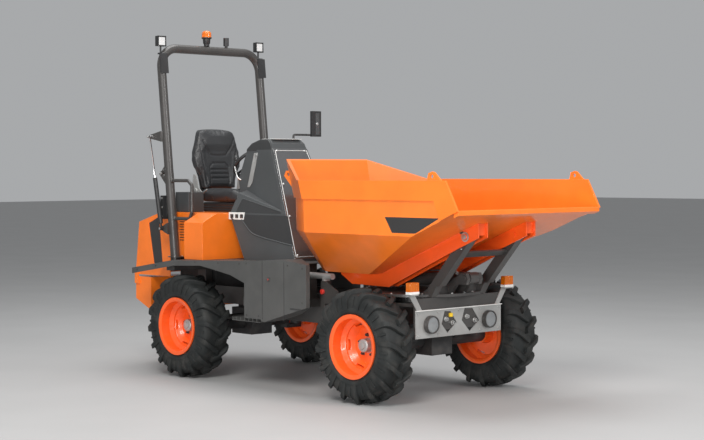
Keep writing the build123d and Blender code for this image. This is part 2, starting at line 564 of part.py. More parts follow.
with BuildPart() as skip:
    add(outer_form)
    # folded band: round the top, and down the front edge of each side
    add(band_form.part)
    for y_span in both_sides((SKIP_HALF_W - 1, SKIP_HALF_W + RIM_BAND_OUT)):
        lean = RIM_BAND_FRONT_W
        side_profile([(SKIP_NOSE_TOP_X - lean, SKIP_SIDE_Z), (FRONT_X - lean, SKIP_LIP_Z - lean * RAMP_SLOPE),
                      (FRONT_X, SKIP_LIP_Z), (SKIP_NOSE_TOP_X, SKIP_SIDE_Z)], *y_span)
    add(load_space, mode=Mode.SUBTRACT)
    side_profile(FRONT_CUT, -SKIP_HALF_W - 60, SKIP_HALF_W + 60, mode=Mode.SUBTRACT)
    side_profile(TOP_CUT, -SKIP_HALF_W - 60, SKIP_HALF_W + 60, mode=Mode.SUBTRACT)
    # folded bar under the lip
    side_profile([(FRONT_X, SKIP_LIP_Z), (FRONT_X, SKIP_LIP_Z - LIP_BAR_H),
                  (FRONT_X - LIP_BAR_W, SKIP_LIP_Z - LIP_BAR_H - LIP_BAR_W * RAMP_SLOPE),
                  (FRONT_X - LIP_BAR_W, SKIP_LIP_Z - LIP_BAR_W * RAMP_SLOPE + SKIP_WALL / 2)],
                 -SKIP_HALF_W, SKIP_HALF_W)
    # lifting eyes on the side rims, and ears behind the rear corners
    for y_span in both_sides((SKIP_HALF_W, SKIP_HALF_W + EYE_T)):
        eye = [(EYE_X - 42, SKIP_SIDE_Z - 10), (EYE_X - 28, SKIP_SIDE_Z + 46), (EYE_X + 5, SKIP_SIDE_Z + 56),
               (EYE_X + 24, SKIP_SIDE_Z + 52), (EYE_X + 90, SKIP_SIDE_Z - 10)]
        side_profile(eye, *y_span)
        pin_y(EYE_X + 2, SKIP_SIDE_Z + 26, EYE_HOLE_R, min(y_span) - 1, max(y_span) + 1, mode=Mode.SUBTRACT)
    for y_span in both_sides((SKIP_BACK_HALF_W - EYE_T, SKIP_BACK_HALF_W)):
        ear = [(SKIP_BACK_X - 37, 1400), (SKIP_BACK_X - 133, 1492), (SKIP_BACK_X - 111, 1528),
               (SKIP_BACK_X - 66, 1528)]
        side_profile(ear, *y_span)
        pin_y(SKIP_BACK_X - 91, 1500, EYE_HOLE_R, min(y_span) - 1, max(y_span) + 1, mode=Mode.SUBTRACT)
save(skip, "skip_shell")

# accumulator and slewing drive beside the ring
with BuildPart() as accumulator:
    with Locations(Plane(origin=(150, -400, 796), x_dir=(0, 1, 0), z_dir=(1, 0, 0))):
        Cylinder(22, 264, align=ALONG)
    block((POST_X - 12, POST_X + 12), (-POST_Y + 6, -POST_Y + 54), (POST_Z + SEAT_GAP, 800))
save(accumulator, "accumulator")

# ribs under the skip, with the hinge pins and the cylinder's lugs
def ramp_z(x):
    """Height of the skip's underside at X."""
    return SKIP_FLOOR_Z + max(0.0, x - SKIP_RAMP_X) * RAMP_SLOPE


RIB_BACK_X = 372.0
RIB_NOSE_X = 1656.0
LUG_OUT_Y = 58.0
INNER_RIB = (ARM_IN_Y - 6 - RIB_T, ARM_IN_Y - 6)
OUTER_RIB = (RIB_Y - RIB_T, RIB_Y)
with BuildPart() as ribs:
    rib = [(RIB_BACK_X, SKIP_FLOOR_Z), (RIB_BACK_X, 807), (482, 745), (847, 741), (1500, 1030),
           (RIB_NOSE_X, 1094), (RIB_NOSE_X, ramp_z(RIB_NOSE_X)), (SKIP_RAMP_X, SKIP_FLOOR_Z)]
    for y_span in both_sides(INNER_RIB) + both_sides(OUTER_RIB):
        side_profile(rib, *y_span)
    for y_span in both_sides((INNER_RIB[0], RIB_Y)):
        side_profile([(1618, 1110), (RIB_NOSE_X - 14, 1110), (RIB_NOSE_X - 14, ramp_z(RIB_NOSE_X - 14)),
                      (1618, ramp_z(1618))], *y_span)
    for y_span in both_sides((LUG_OUT_Y, RIB_Y - 1)):
        block((515, 565), y_span, (SKIP_FLOOR_Z - 28, SKIP_FLOOR_Z))
    for y_span in both_sides((LUG_IN_Y, LUG_OUT_Y)):
        side_profile([(470, SKIP_FLOOR_Z), (610, SKIP_FLOOR_Z), (TIP_EYE_X + 34, TIP_EYE_Z - 16),
                      (TIP_EYE_X + 18, TIP_EYE_Z - 32), (TIP_EYE_X - 18, TIP_EYE_Z - 32),
                      (TIP_EYE_X - 34, TIP_EYE_Z - 16)], *y_span)
    pin_y(TIP_EYE_X, TIP_EYE_Z, TIP_PIN_R, -LUG_OUT_Y - 2, LUG_OUT_Y + 2, mode=Mode.SUBTRACT)
    for side in (-1, 1):
        pin_y(HINGE_X, HINGE_Z, HINGE_PIN_R, side * (INNER_RIB[0] - 8), side * (RIB_Y + 10))
save(ribs, "skip_ribs")

# ---------------------------------------------------------------- platform and bodywork
FENDER_BACK_X = -1487.0
FENDER_BEND_X = -970.0
BOX_SEAM_X = -135.0
DECK_FRONT_X = 90.0
SEAT_BOX_X = (-1400.0, -788.0)
SEAT_BOX_HALF_W = 602.0
SEAT_BOX_TOP = 1212.0
POST_SLOPE = tan(radians(ROPS_LEAN))


def post_x(z):
    """Centre of the roll-over posts at a height."""
    return ROPS_FOOT_X - (z - ROPS_FOOT_Z) * POST_SLOPE


with BuildPart() as platform:
    block((FENDER_BEND_X, DECK_FRONT_X), (-FENDER_Y + SHEET, FENDER_Y - SHEET), (PLATFORM_Z - SHEET, PLATFORM_Z))
    slope = [(FENDER_BACK_X, 792), (FENDER_BEND_X, PLATFORM_Z), (FENDER_BEND_X, PLATFORM_Z - SHEET),
             (FENDER_BACK_X, 792 - SHEET)]
    skirt = [(FENDER_BACK_X, 792), (FENDER_BEND_X, PLATFORM_Z), (BOX_SEAM_X - 2, 897), (BOX_SEAM_X - 2, 742),
             (-290, 790), (-460, 817), (-640, 842), (FENDER_BEND_X, 828), (FENDER_BACK_X, 748)]
    for y_span in both_sides((450, FENDER_Y)):
        side_profile(slope, *y_span)
    for y_span in both_sides((FENDER_Y - SHEET, FENDER_Y)):
        side_profile(skirt, *y_span)
    for side in (-1, 1):
        with Locations((post_x(830), side * ROPS_Y, 830)):
            Cylinder(ROPS_TUBE_R + 6, 90, mode=Mode.SUBTRACT)
    # room for the engine under the seat box
    block((SEAT_BOX_X[0], -1000), (-SEAT_BOX_HALF_W + 200, SEAT_BOX_HALF_W - 200), (700, PLATFORM_Z + 1),
          mode=Mode.SUBTRACT)
save(platform, "platform")

BOX_IN_Y = 572.0
with BuildPart() as side_boxes:
    box_side = [(BOX_SEAM_X, 897), (290, 921), (520, 896), (520, 606), (90, 484), (46, 484), (46, 498),
                (BOX_SEAM_X, 498)]
    box_room = [(BOX_SEAM_X + SHEET, 891), (288, 915), (515, 891), (515, 610), (94, 490), (52, 490),
                (52, 503), (BOX_SEAM_X + SHEET, 503)]
    for side in (-1, 1):
        side_profile(box_side, *sorted((side * BOX_IN_Y, side * FENDER_Y)))
        side_profile(box_room, *sorted((side * (BOX_IN_Y - 1), side * (FENDER_Y - SHEET))),
                     mode=Mode.SUBTRACT)
        plan_profile([(284, side * (BOX_IN_Y - 2)), (530, side * 712), (530, side * (BOX_IN_Y - 2))],
                     400, 1000, mode=Mode.SUBTRACT)
        # the deck runs in over the box's rear half
        block((BOX_SEAM_X - 1, DECK_FRONT_X + EYE_GAP),
              sorted((side * (BOX_IN_Y - 1), side * (FENDER_Y - SHEET))),
              (PLATFORM_Z - SHEET - SEAT_GAP, 950), mode=Mode.SUBTRACT)
        # tie-down slot
        block((355, 463), sorted((side * 690, side * 750)), (585, 596), mode=Mode.SUBTRACT)
        # step treads, hung under the box
        step_y = sorted((side * 600, side * FENDER_Y))
        block((-272, 40), step_y, (474, 478))
        for x_rib in range(-268, 40, 44):
            block((x_rib, x_rib + 4), step_y, (478, 498))
save(side_boxes, "side_boxes")

with BuildPart() as seat_box:
    front_shape = [(-SEAT_BOX_HALF_W, PLATFORM_Z), (-SEAT_BOX_HALF_W, 1145), (-470, SEAT_BOX_TOP),
                   (470, SEAT_BOX_TOP), (SEAT_BOX_HALF_W, 1145), (SEAT_BOX_HALF_W, PLATFORM_Z)]
    cross_profile(front_shape, -1010, SEAT_BOX_X[1])
    back_shape = [(-HOOD_HALF_W, PLATFORM_Z), (-HOOD_HALF_W, SEAT_BOX_TOP), (HOOD_HALF_W, SEAT_BOX_TOP),
                  (HOOD_HALF_W, PLATFORM_Z)]
    cross_profile(back_shape, SEAT_BOX_X[0], -1010)
    room = [(-SEAT_BOX_HALF_W + SHEET, PLATFORM_Z - 1), (-SEAT_BOX_HALF_W + SHEET, 1142),
            (-468, SEAT_BOX_TOP - SHEET), (468, SEAT_BOX_TOP - SHEET), (SEAT_BOX_HALF_W - SHEET, 1142),
            (SEAT_BOX_HALF_W - SHEET, PLATFORM_Z - 1)]
    cross_profile(room, -1010 + SHEET, SEAT_BOX_X[1] - SHEET, mode=Mode.SUBTRACT)
    block((SEAT_BOX_X[0] - 1, -1010 + SHEET + 1), (-HOOD_HALF_W + SHEET, HOOD_HALF_W - SHEET),
          (PLATFORM_Z - 1, SEAT_BOX_TOP - SHEET), mode=Mode.SUBTRACT)
save(seat_box, "seat_box")

with BuildPart() as engine_block:
    block(ENGINE_X, (-ENGINE_HALF_W, ENGINE_HALF_W), (ENGINE_Z[0] + SEAT_GAP, ENGINE_Z[1]))
save(engine_block, "engine_block")

CW_TOP_Z = 695.0
CW_BOTTOM_Z = 434.0
HOOD_PIN_X = REAR_X + 22
HOOD_PIN_Z = 734.0
HOOD_PIN_R = 8.0
HOOD_BOTTOM_Z = 712.0
with BuildPart() as counterweight:
    side_profile([(REAR_X + 4, 520), (REAR_X + 4, CW_TOP_Z), (COUNTERWEIGHT_X, CW_TOP_Z),
                  (COUNTERWEIGHT_X, CW_BOTTOM_Z)], -HOOD_HALF_W, HOOD_HALF_W)
    block((REAR_X, REAR_X + 90), (-70, 70), (570, 620), mode=Mode.SUBTRACT)
    pin_z(REAR_X + 48, 0, 16, 400, CW_TOP_Z + 1, mode=Mode.SUBTRACT)
    for y_span in both_sides((HOOD_HALF_W + EYE_GAP, HOOD_HALF_W + 13)):
        side_profile([(REAR_X + 4, 640), (REAR_X + 4, HOOD_PIN_Z + 14), (REAR_X + 40, HOOD_PIN_Z + 14),
                      (REAR_X + 60, 640)], *y_span)
    for y_span in both_sides((HOOD_HALF_W - 1, HOOD_HALF_W + 13)):
        block((REAR_X + 4, REAR_X + 56), y_span, (640, CW_TOP_Z - 5))
    for side in (-1, 1):
        pin_y(HOOD_PIN_X, HOOD_PIN_Z, HOOD_PIN_R, side * (HOOD_HALF_W - 12), side * (HOOD_HALF_W + 13))
save(counterweight, "counterweight")

HOOD_FRONT_X = SEAT_BOX_X[0] - 6
with BuildPart() as hood:
    side_profile([(HOOD_FRONT_X, HOOD_BOTTOM_Z), (REAR_X, HOOD_BOTTOM_Z), (REAR_X + 54, 1128),
                  (-1560, 1198), (HOOD_FRONT_X, 1198)], -HOOD_HALF_W, HOOD_HALF_W)
    side_profile([(HOOD_FRONT_X + 1, HOOD_BOTTOM_Z - 1), (REAR_X + SHEET, HOOD_BOTTOM_Z - 1),
                  (REAR_X + 54 + SHEET, 1124), (-1559, 1193), (HOOD_FRONT_X + 1, 1193)],
                 -HOOD_HALF_W + SHEET, HOOD_HALF_W - SHEET, mode=Mode.SUBTRACT)
    for y_span in both_sides((HOOD_HALF_W - 2, HOOD_HALF_W + 1)):
        side_profile([(-1550, 1180), (-1690, 1125), (-1620, 800), (-1500, 800)], *y_span, mode=Mode.SUBTRACT)
    for side in (-1, 1):
        pin_y(HOOD_PIN_X, HOOD_PIN_Z, HOOD_PIN_R + RUN_GAP, side * (HOOD_HALF_W - 14),
              side * (HOOD_HALF_W + 2), mode=Mode.SUBTRACT)
save(hood, "rear_hood")

# ---------------------------------------------------------------- roll-over hoop
FOLD_X = post_x(ROPS_FOLD_Z) - ROPS_TUBE_R - 25
FOLD_GAP = 1.0
HINGE_LANES = ((-37.0, -26.0), (26.0, 37.0))     # ears of the lower posts, about the post's Y
TONGUE_LANES = ((-24.0, -14.0), (14.0, 24.0))    # ears of the hoop


def leg(x_low, z_low, x_high, z_high, y, radius, mode=Mode.ADD):
    """Straight round tube or bore between two heights."""
    run = Vector(x_high - x_low, 0, z_high - z_low)
    with Locations(Plane(origin=(x_low, y, z_low), x_dir=(0, 1, 0), z_dir=run.normalized())):
        Cylinder(radius, run.length, align=ALONG, mode=mode)


# gas strut on the right: barrel pinned to the post, rod pinned to the hoop
STRUT_Y = -ROPS_Y - 66
STRUT_LOW = (post_x(1088) - 60, 1088.0)
STRUT_HIGH = (post_x(1793) - 128, 1793.0)
STRUT_R = 17.0
STRUT_ROD_R = 8.0
STRUT_RUN = Vector(STRUT_HIGH[0] - STRUT_LOW[0], 0, STRUT_HIGH[1] - STRUT_LOW[1])
STRUT_LINE = Plane(origin=(STRUT_LOW[0], STRUT_Y, STRUT_LOW[1]), x_dir=(0, 1, 0), z_dir=STRUT_RUN.normalized())
fold = radians(ROPS_FOLD)
high_x, high_z = STRUT_HIGH[0] - FOLD_X, STRUT_HIGH[1] - ROPS_FOLD_Z
folded = Vector(FOLD_X + high_x * cos(fold) - high_z * sin(fold) - STRUT_LOW[0], 0,
                ROPS_FOLD_Z + high_x * sin(fold) + high_z * cos(fold) - STRUT_LOW[1])
strut_turn = degrees(atan2(-folded.X, folded.Z)) - degrees(atan2(-STRUT_RUN.X, STRUT_RUN.Z))
print(f"strut: {STRUT_RUN.length:.2f} mm, folded {folded.length:.2f} mm, turns {strut_turn:.3f} degrees")
print(f"fold axis X {FOLD_X:.3f}, strut {STRUT_LOW} {STRUT_HIGH}")

BRACKET_Y = (STRUT_Y + 10, -ROPS_Y - 26)

def bent_tube(points, radius, bend):
    """Round bar swept along a polyline with filleted corners."""
    start = Vector(*points[0])
    heading = (Vector(*points[1]) - start).normalized()
    with BuildLine() as run:
        FilletPolyline(*points, radius=bend)
    with BuildSketch(Plane(origin=start, z_dir=heading)) as section:
        Circle(radius)
    sweep(section.sketch, path=run.line)


with BuildPart() as grab_rails:
    for y in (-ROPS_Y, ROPS_Y):
        bent_tube([(post_x(1455) + 36, y, 1455), (-1108, y, 1455), (-1060, y, 1420), (-1061, y, 1218),
                   (-1090, y, 1165), (post_x(1165) + 36, y, 1165)], 13, 20)
        for z in (1165, 1455):
            leg(post_x(z - 60), z - 60, post_x(z + 60), z + 60, y, ROPS_TUBE_R + SEAT_GAP, mode=Mode.SUBTRACT)

with BuildPart() as rops_posts:
    for side in (-1, 1):
        y = side * ROPS_Y
        leg(post_x(BEAM_TOP_Z), BEAM_TOP_Z, post_x(ROPS_FOLD_Z), ROPS_FOLD_Z, y, ROPS_TUBE_R)
        leg(post_x(BEAM_TOP_Z), BEAM_TOP_Z, post_x(ROPS_FOLD_Z - 30), ROPS_FOLD_Z - 30, y,
            ROPS_TUBE_R - ROPS_TUBE_T, mode=Mode.SUBTRACT)
        for low, high in HINGE_LANES:
            side_profile([(post_x(ROPS_FOLD_Z - 90), ROPS_FOLD_Z - 90), (FOLD_X - 4, ROPS_FOLD_Z - 20),
                          (FOLD_X - 18, ROPS_FOLD_Z), (FOLD_X, ROPS_FOLD_Z + 18),
                          (FOLD_X + 16, ROPS_FOLD_Z + 2), (FOLD_X + 22, ROPS_FOLD_Z - 14),
                          (post_x(ROPS_FOLD_Z), ROPS_FOLD_Z - 14)],
                         y + low, y + high)
        pin_y(FOLD_X, ROPS_FOLD_Z, 9 + RUN_GAP, y - 44, y + 44, mode=Mode.SUBTRACT)
    block((ROPS_FOOT_X - 90, ROPS_FOOT_X + 90), (-ROPS_Y - 70, ROPS_Y + 70), (700, BEAM_TOP_Z + SEAT_GAP),
          mode=Mode.SUBTRACT)
    x_pin, z_pin = STRUT_LOW
    side_profile([(post_x(z_pin + 44), z_pin + 44), (post_x(z_pin - 44), z_pin - 44), (x_pin - 12, z_pin - 14),
                  (x_pin - 12, z_pin + 14)], *BRACKET_Y)
    pin_y(x_pin, z_pin, 7, STRUT_Y - 12, BRACKET_Y[0] + 2)
    add(grab_rails.part)
save(rops_posts, "rops_posts")

TOP_X = post_x(ROPS_TOP_Z)
BEND_R = 150.0
with BuildPart() as rops_hoop:
    lean_up = Vector(post_x(1.0) - post_x(0.0), 0, 1.0).normalized()
    hoop_base = Plane(origin=(post_x(ROPS_FOLD_Z + FOLD_GAP), -ROPS_Y, ROPS_FOLD_Z + FOLD_GAP),
                      x_dir=(0, 1, 0), z_dir=lean_up)
    with BuildLine() as hoop_path:
        FilletPolyline((post_x(ROPS_FOLD_Z + FOLD_GAP), -ROPS_Y, ROPS_FOLD_Z + FOLD_GAP),
                       (TOP_X, -ROPS_Y, ROPS_TOP_Z), (TOP_X, ROPS_Y, ROPS_TOP_Z),
                       (post_x(ROPS_FOLD_Z + FOLD_GAP), ROPS_Y, ROPS_FOLD_Z + FOLD_GAP), radius=BEND_R)
    with BuildSketch(hoop_base) as tube:
        Circle(ROPS_TUBE_R - 1)
        Circle(ROPS_TUBE_R - 1 - ROPS_TUBE_T, mode=Mode.SUBTRACT)
    sweep(tube.sketch, path=hoop_path.line)
    for side in (-1, 1):
        y = side * ROPS_Y
        with Locations(Plane(origin=(post_x(ROPS_FOLD_Z + FOLD_GAP), y, ROPS_FOLD_Z + FOLD_GAP),
                             x_dir=(0, 1, 0), z_dir=lean_up)):
            Cylinder(ROPS_TUBE_R - 1, 14, align=ALONG)
        for low, high in TONGUE_LANES:
            side_profile([(FOLD_X, ROPS_FOLD_Z - 12), (FOLD_X + 12, ROPS_FOLD_Z + 2),
                          (post_x(ROPS_FOLD_Z), ROPS_FOLD_Z + 6), (post_x(ROPS_FOLD_Z + 80), ROPS_FOLD_Z + 80),
                          (FOLD_X - 10, ROPS_FOLD_Z + 14), (FOLD_X - 12, ROPS_FOLD_Z)], y + low, y + high)
        pin_y(FOLD_X, ROPS_FOLD_Z, 9, y - 38, y + 38)
    x_pin, z_pin = STRUT_HIGH
    side_profile([(post_x(z_pin + 40), z_pin + 40), (post_x(z_pin - 40), z_pin - 40), (x_pin - 12, z_pin - 14),
                  (x_pin - 12, z_pin + 14)], *BRACKET_Y)
    pin_y(x_pin, z_pin, 7, *BRACKET_Y, mode=Mode.SUBTRACT)
save(rops_hoop, "rops_hoop")

STRUT_BARREL = 395.0
with BuildPart() as strut_barrel:
    pin_y(*STRUT_LOW, 14, STRUT_Y - 9, STRUT_Y + 9)
    with Locations(STRUT_LINE.offset(8)):
        Cylinder(8, 44, align=ALONG)
    with Locations(STRUT_LINE.offset(40)):
        Cylinder(STRUT_R, STRUT_BARREL - 40, align=ALONG)
    with Locations(STRUT_LINE.offset(60)):
        Cylinder(STRUT_ROD_R + RUN_GAP, STRUT_BARREL, align=ALONG, mode=Mode.SUBTRACT)
    pin_y(*STRUT_LOW, 7 + RUN_GAP, STRUT_Y - 10, STRUT_Y + 10, mode=Mode.SUBTRACT)
save(strut_barrel, "strut_barrel")

with BuildPart() as strut_rod:
    with Locations(STRUT_LINE.offset(STRUT_BARREL - 90)):
        Cylinder(STRUT_ROD_R, STRUT_RUN.length - STRUT_BARREL + 90, align=ALONG)
    pin_y(*STRUT_HIGH, 14, STRUT_Y - 9, STRUT_Y + 9)
    pin_y(*STRUT_HIGH, 7, STRUT_Y - 10, STRUT_Y + 10, mode=Mode.SUBTRACT)
save(strut_rod, "strut_rod")

# ---------------------------------------------------------------- lamps and tubes
LAMP_PLATE_Z = (2280.0, 2432.0)
LAMP_CASE_Z = (2488.0, 2566.0)
LAMP_CASE_T = 34.0
BAR_TOP = ROPS_TOP_Z + ROPS_TUBE_R - 1 + SEAT_GAP
with BuildPart() as work_lights:
    x_low, x_high = (post_x(z) + ROPS_TUBE_R - 4 for z in LAMP_PLATE_Z)
    lamp_x = post_x(LAMP_PLATE_Z[1])
    for side in (-1, 1):
        # plate before the leg, its foot bent back over the shoulder, and the lamp on its stem
        side_profile([(x_low, LAMP_PLATE_Z[0]), (x_high, LAMP_PLATE_Z[1]), (x_high + 10, LAMP_PLATE_Z[1]),
                      (x_low + 10, LAMP_PLATE_Z[0])], *sorted((side * (ROPS_Y - 36), side * (ROPS_Y + 36))))
        side_profile([(lamp_x - 16, LAMP_PLATE_Z[1] - 6), (lamp_x - 16, LAMP_PLATE_Z[1] + 6),
                      (x_high + 4, LAMP_PLATE_Z[1] + 6), (x_high + 10, LAMP_PLATE_Z[1]),
                      (x_high + 9, LAMP_PLATE_Z[1] - 6)], *sorted((side * (ROPS_Y - 16), side * (ROPS_Y + 16))))
        pin_z(lamp_x, side * ROPS_Y, 7, LAMP_PLATE_Z[1], LAMP_CASE_Z[0] + 1)
        block((lamp_x - LAMP_CASE_T / 2, lamp_x + LAMP_CASE_T / 2),
              sorted((side * (ROPS_Y - 38), side * (ROPS_Y + 38))), LAMP_CASE_Z)
    with BuildSketch(hoop_base) as tube_room:
        Circle(ROPS_TUBE_R - 1 + SEAT_GAP)
    sweep(tube_room.sketch, path=hoop_path.line, mode=Mode.SUBTRACT)
    pin_z(TOP_X, 160, 12, BAR_TOP, BAR_TOP + 12)
    pin_z(TOP_X, 160, 22, BAR_TOP + 12, BAR_TOP + 76)
save(work_lights, "work_lights")

with BuildPart() as beacon:
    pin_z(TOP_X, -36, 20, BAR_TOP, BAR_TOP + 14)
    pin_z(TOP_X, -36, 30, BAR_TOP + 14, BAR_TOP + 68)
    pin_z(TOP_X, -36, 52, BAR_TOP + 68, BAR_TOP + 116)
    pin_z(TOP_X, -36, 40, BAR_TOP + 116, BAR_TOP + 124)
save(beacon, "beacon")

with BuildPart() as tail_lamps:
    for side in (-1, 1):
        x_back = post_x(1250) - ROPS_TUBE_R - 8
        block((x_back - 40, x_back), sorted((side * (ROPS_Y - 45), side * (ROPS_Y + 45))), (1160, 1340))
        block((x_back, x_back + 14), sorted((side * (ROPS_Y - 20), side * (ROPS_Y + 20))), (1180, 1320))
        leg(post_x(1100), 1100, post_x(1400), 1400, side * ROPS_Y, ROPS_TUBE_R + SEAT_GAP, mode=Mode.SUBTRACT)
save(tail_lamps, "tail_lamps")

# ---------------------------------------------------------------- seat
SEAT_REAR_X = -1385.0
SEAT_HALF_W = 222.0
CUSHION_Z = (1285.0, 1390.0)
# backrest from the front: (half width, height)
BACKREST = ((165, 1400), (172, 1480), (220, 1555), (234, 1610), (208, 1730), (174, 1826), (138, 1850))
with BuildPart() as seat_base:
    block((-1320, -900), (-175, 175), (SEAT_BOX_TOP + SEAT_GAP, CUSHION_Z[0] - SEAT_GAP))
    # fuse and filter housing beside the seat
    block((SEAT_REAR_X, SEAT_REAR_X + 170), (-400, -255), (SEAT_BOX_TOP + SEAT_GAP, 1366))
save(seat_base, "seat_base")

with BuildPart() as seat:
    front_x = SEAT_BOX_X[1] - 62
    side_profile([(SEAT_REAR_X, CUSHION_Z[0]), (SEAT_REAR_X, CUSHION_Z[1] - 14), (front_x - 90, CUSHION_Z[1]),
                  (front_x - 30, CUSHION_Z[1] - 4), (front_x, CUSHION_Z[1] - 34), (front_x, CUSHION_Z[0] + 30),
                  (front_x - 30, CUSHION_Z[0])], -SEAT_HALF_W, SEAT_HALF_W)
    with BuildPart() as backrest:
        side_profile([(SEAT_REAR_X + 60, CUSHION_Z[1] - 40), (SEAT_REAR_X, 1850), (SEAT_REAR_X - 70, 1842),
                      (SEAT_REAR_X - 62, 1600), (SEAT_REAR_X - 30, CUSHION_Z[1] - 40)],
                     -SEAT_HALF_W - 20, SEAT_HALF_W + 20)
        with BuildPart(mode=Mode.INTERSECT):
            outline = [(-y, z) for y, z in BACKREST] + [(y, z) for y, z in reversed(BACKREST)]
            outline += [(165, CUSHION_Z[1] - 40), (-165, CUSHION_Z[1] - 40)]
            cross_profile(outline, SEAT_REAR_X - 100, SEAT_REAR_X + 100)
save(seat, "seat")

# ---------------------------------------------------------------- console
CONSOLE_SLOPE = 0.447
FLANK_SLOPE = 0.1286
COWL_TOP_Z = 1762.0
SHOULDER_Z = 1215.0
CONSOLE_T = 5.0
PLATE_T = 6.0
FLANK_RISE = 4.0


def console_x(z):
    """Front of the console body at a height."""
    return -496.0 - (z - 1693.0) * CONSOLE_SLOPE


def console_y(z):
    """Half width of the console body at a height."""
    return 168.0 - (z - 1693.0) * FLANK_SLOPE


def console_loft(stations, mode=Mode.ADD):
    """Ruled loft through (z, rear x, front x, rear half width, front half width) stations."""
    sections = []
    for z, x_rear, x_front, y_rear, y_front in stations:
        with BuildSketch(Plane.XY.offset(z)) as station:
            with BuildLine():
                Polyline((x_rear, -y_rear), (x_front, -y_front), (x_front, y_front), (x_rear, y_rear), close=True)
            make_face()
        sections.append(station.sketch)
    loft(sections, ruled=True, mode=mode)


with BuildPart() as cowl:
    outer = []
    inner = []
    for z, x_rear in ((SHOULDER_Z, -770), (1385, -831), (1459, -860), (1684, -792), (1730, -740)):
        y_half = console_y(z)
        outer.append((z, x_rear, console_x(z), y_half, y_half))
        inner.append((z, x_rear + CONSOLE_T, console_x(z) - CONSOLE_T, y_half - CONSOLE_T, y_half - CONSOLE_T))
    outer.append((COWL_TOP_Z, -650, -548, 150, 150))
    inner[0] = (SHOULDER_Z - 1, *inner[0][1:])
    console_loft(outer)
    # raised middle of each flank
    console_loft([(z, x_rear, console_x(z) - 14, console_y(z) + FLANK_RISE, console_y(z) + FLANK_RISE)
                  for z, x_rear in ((SHOULDER_Z + 10, -560), (1330, -640), (1684, -676))])
    console_loft(inner, mode=Mode.SUBTRACT)
    console_loft([(SHOULDER_Z + CONSOLE_T, -1000, -500, 160, 160), (1400, -1000, -500, 160, 160)],
                 mode=Mode.SUBTRACT)
    block((-900, -700), (-32, 32), (1399, 1570), mode=Mode.SUBTRACT)
save(cowl, "console_cowl")

with BuildPart() as console_base:
    low, high = PLATFORM_Z, SHOULDER_Z - SEAT_GAP
    console_loft([(low, -612, console_x(low), 350, console_y(low)),
                  (high, -782, console_x(high), 352, console_y(high))])
    console_loft([(low - 1, -640, console_x(low) - CONSOLE_T, 350 - CONSOLE_T, console_y(low) - CONSOLE_T),
                  (high - CONSOLE_T, -830, console_x(high) - CONSOLE_T, 352 - CONSOLE_T,
                   console_y(high) - CONSOLE_T)], mode=Mode.SUBTRACT)
    # knee room under the cowl
    block((-1000, -420), (-222, 222), (high - CONSOLE_T - 1, high + 1), mode=Mode.SUBTRACT)
save(console_base, "console_base")

with BuildPart() as front_plate:
    low, high = 888.0, 1693.0
    console_loft([(low, console_x(low) + SEAT_GAP, console_x(low) + PLATE_T, console_y(low), console_y(low)),
                  (high, console_x(high) + SEAT_GAP, console_x(high) + PLATE_T, console_y(high), console_y(high))])
save(front_plate, "front_plate")

WHEEL_X, WHEEL_Z = -935.0, 1590.0
WHEEL_LEAN = 42.0
WHEEL_RIM_R = 150.0
WHEEL_AXIS = Vector(-sin(radians(WHEEL_LEAN)), 0, cos(radians(WHEEL_LEAN)))
WHEEL_PLANE = Plane(origin=(WHEEL_X, 0, WHEEL_Z), x_dir=(0, 1, 0), z_dir=WHEEL_AXIS)
with BuildPart() as steering_wheel:
    with Locations(WHEEL_PLANE):
        Torus(WHEEL_RIM_R, 13)
    with Locations(WHEEL_PLANE.offset(-44)):
        Cylinder(24, 50, align=ALONG)
    for spoke_turn in (0, 120, 240):
        with Locations(WHEEL_PLANE * Plane.XY.rotated((0, 0, spoke_turn))):
            with Locations((WHEEL_RIM_R / 2, 0, 0)):
                Box(WHEEL_RIM_R, 22, 8)
save(steering_wheel, "steering_wheel")

with BuildPart() as steering_column:
    column_length = 230.0
    with Locations(WHEEL_PLANE.offset(-44 - SEAT_GAP - column_length)):
        Cylinder(21, column_length, align=ALONG)
    block((-800, -700), (-60, 60), (1330, 1410))
    block((-701, console_x(1405) - CONSOLE_T - 1), (-30, 30), (1345, 1405))
save(steering_column, "steering_column")

with BuildPart() as mirror:
    block((-548, -522), (252, 342), (1786, 1980))
    bent_tube([(-590, 120, COWL_TOP_Z + SEAT_GAP), (-590, 120, 1800), (-575, 245, 1800), (-535, 297, 1800)], 8, 12)
save(mirror, "mirror")
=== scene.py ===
"""Looks of the swivel-skip site dumper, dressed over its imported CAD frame.

Every length is in metres in the frame of the CAD model: +X forward, +Y to the
machine's left, +Z up, with the origin on the ground under the machine's middle.
"""

from __future__ import annotations

import json
import logging
import math
from collections.abc import Iterable, Sequence
from dataclasses import dataclass, field, replace
from enum import Enum

import bmesh
import bpy
from mathutils import Matrix, Vector

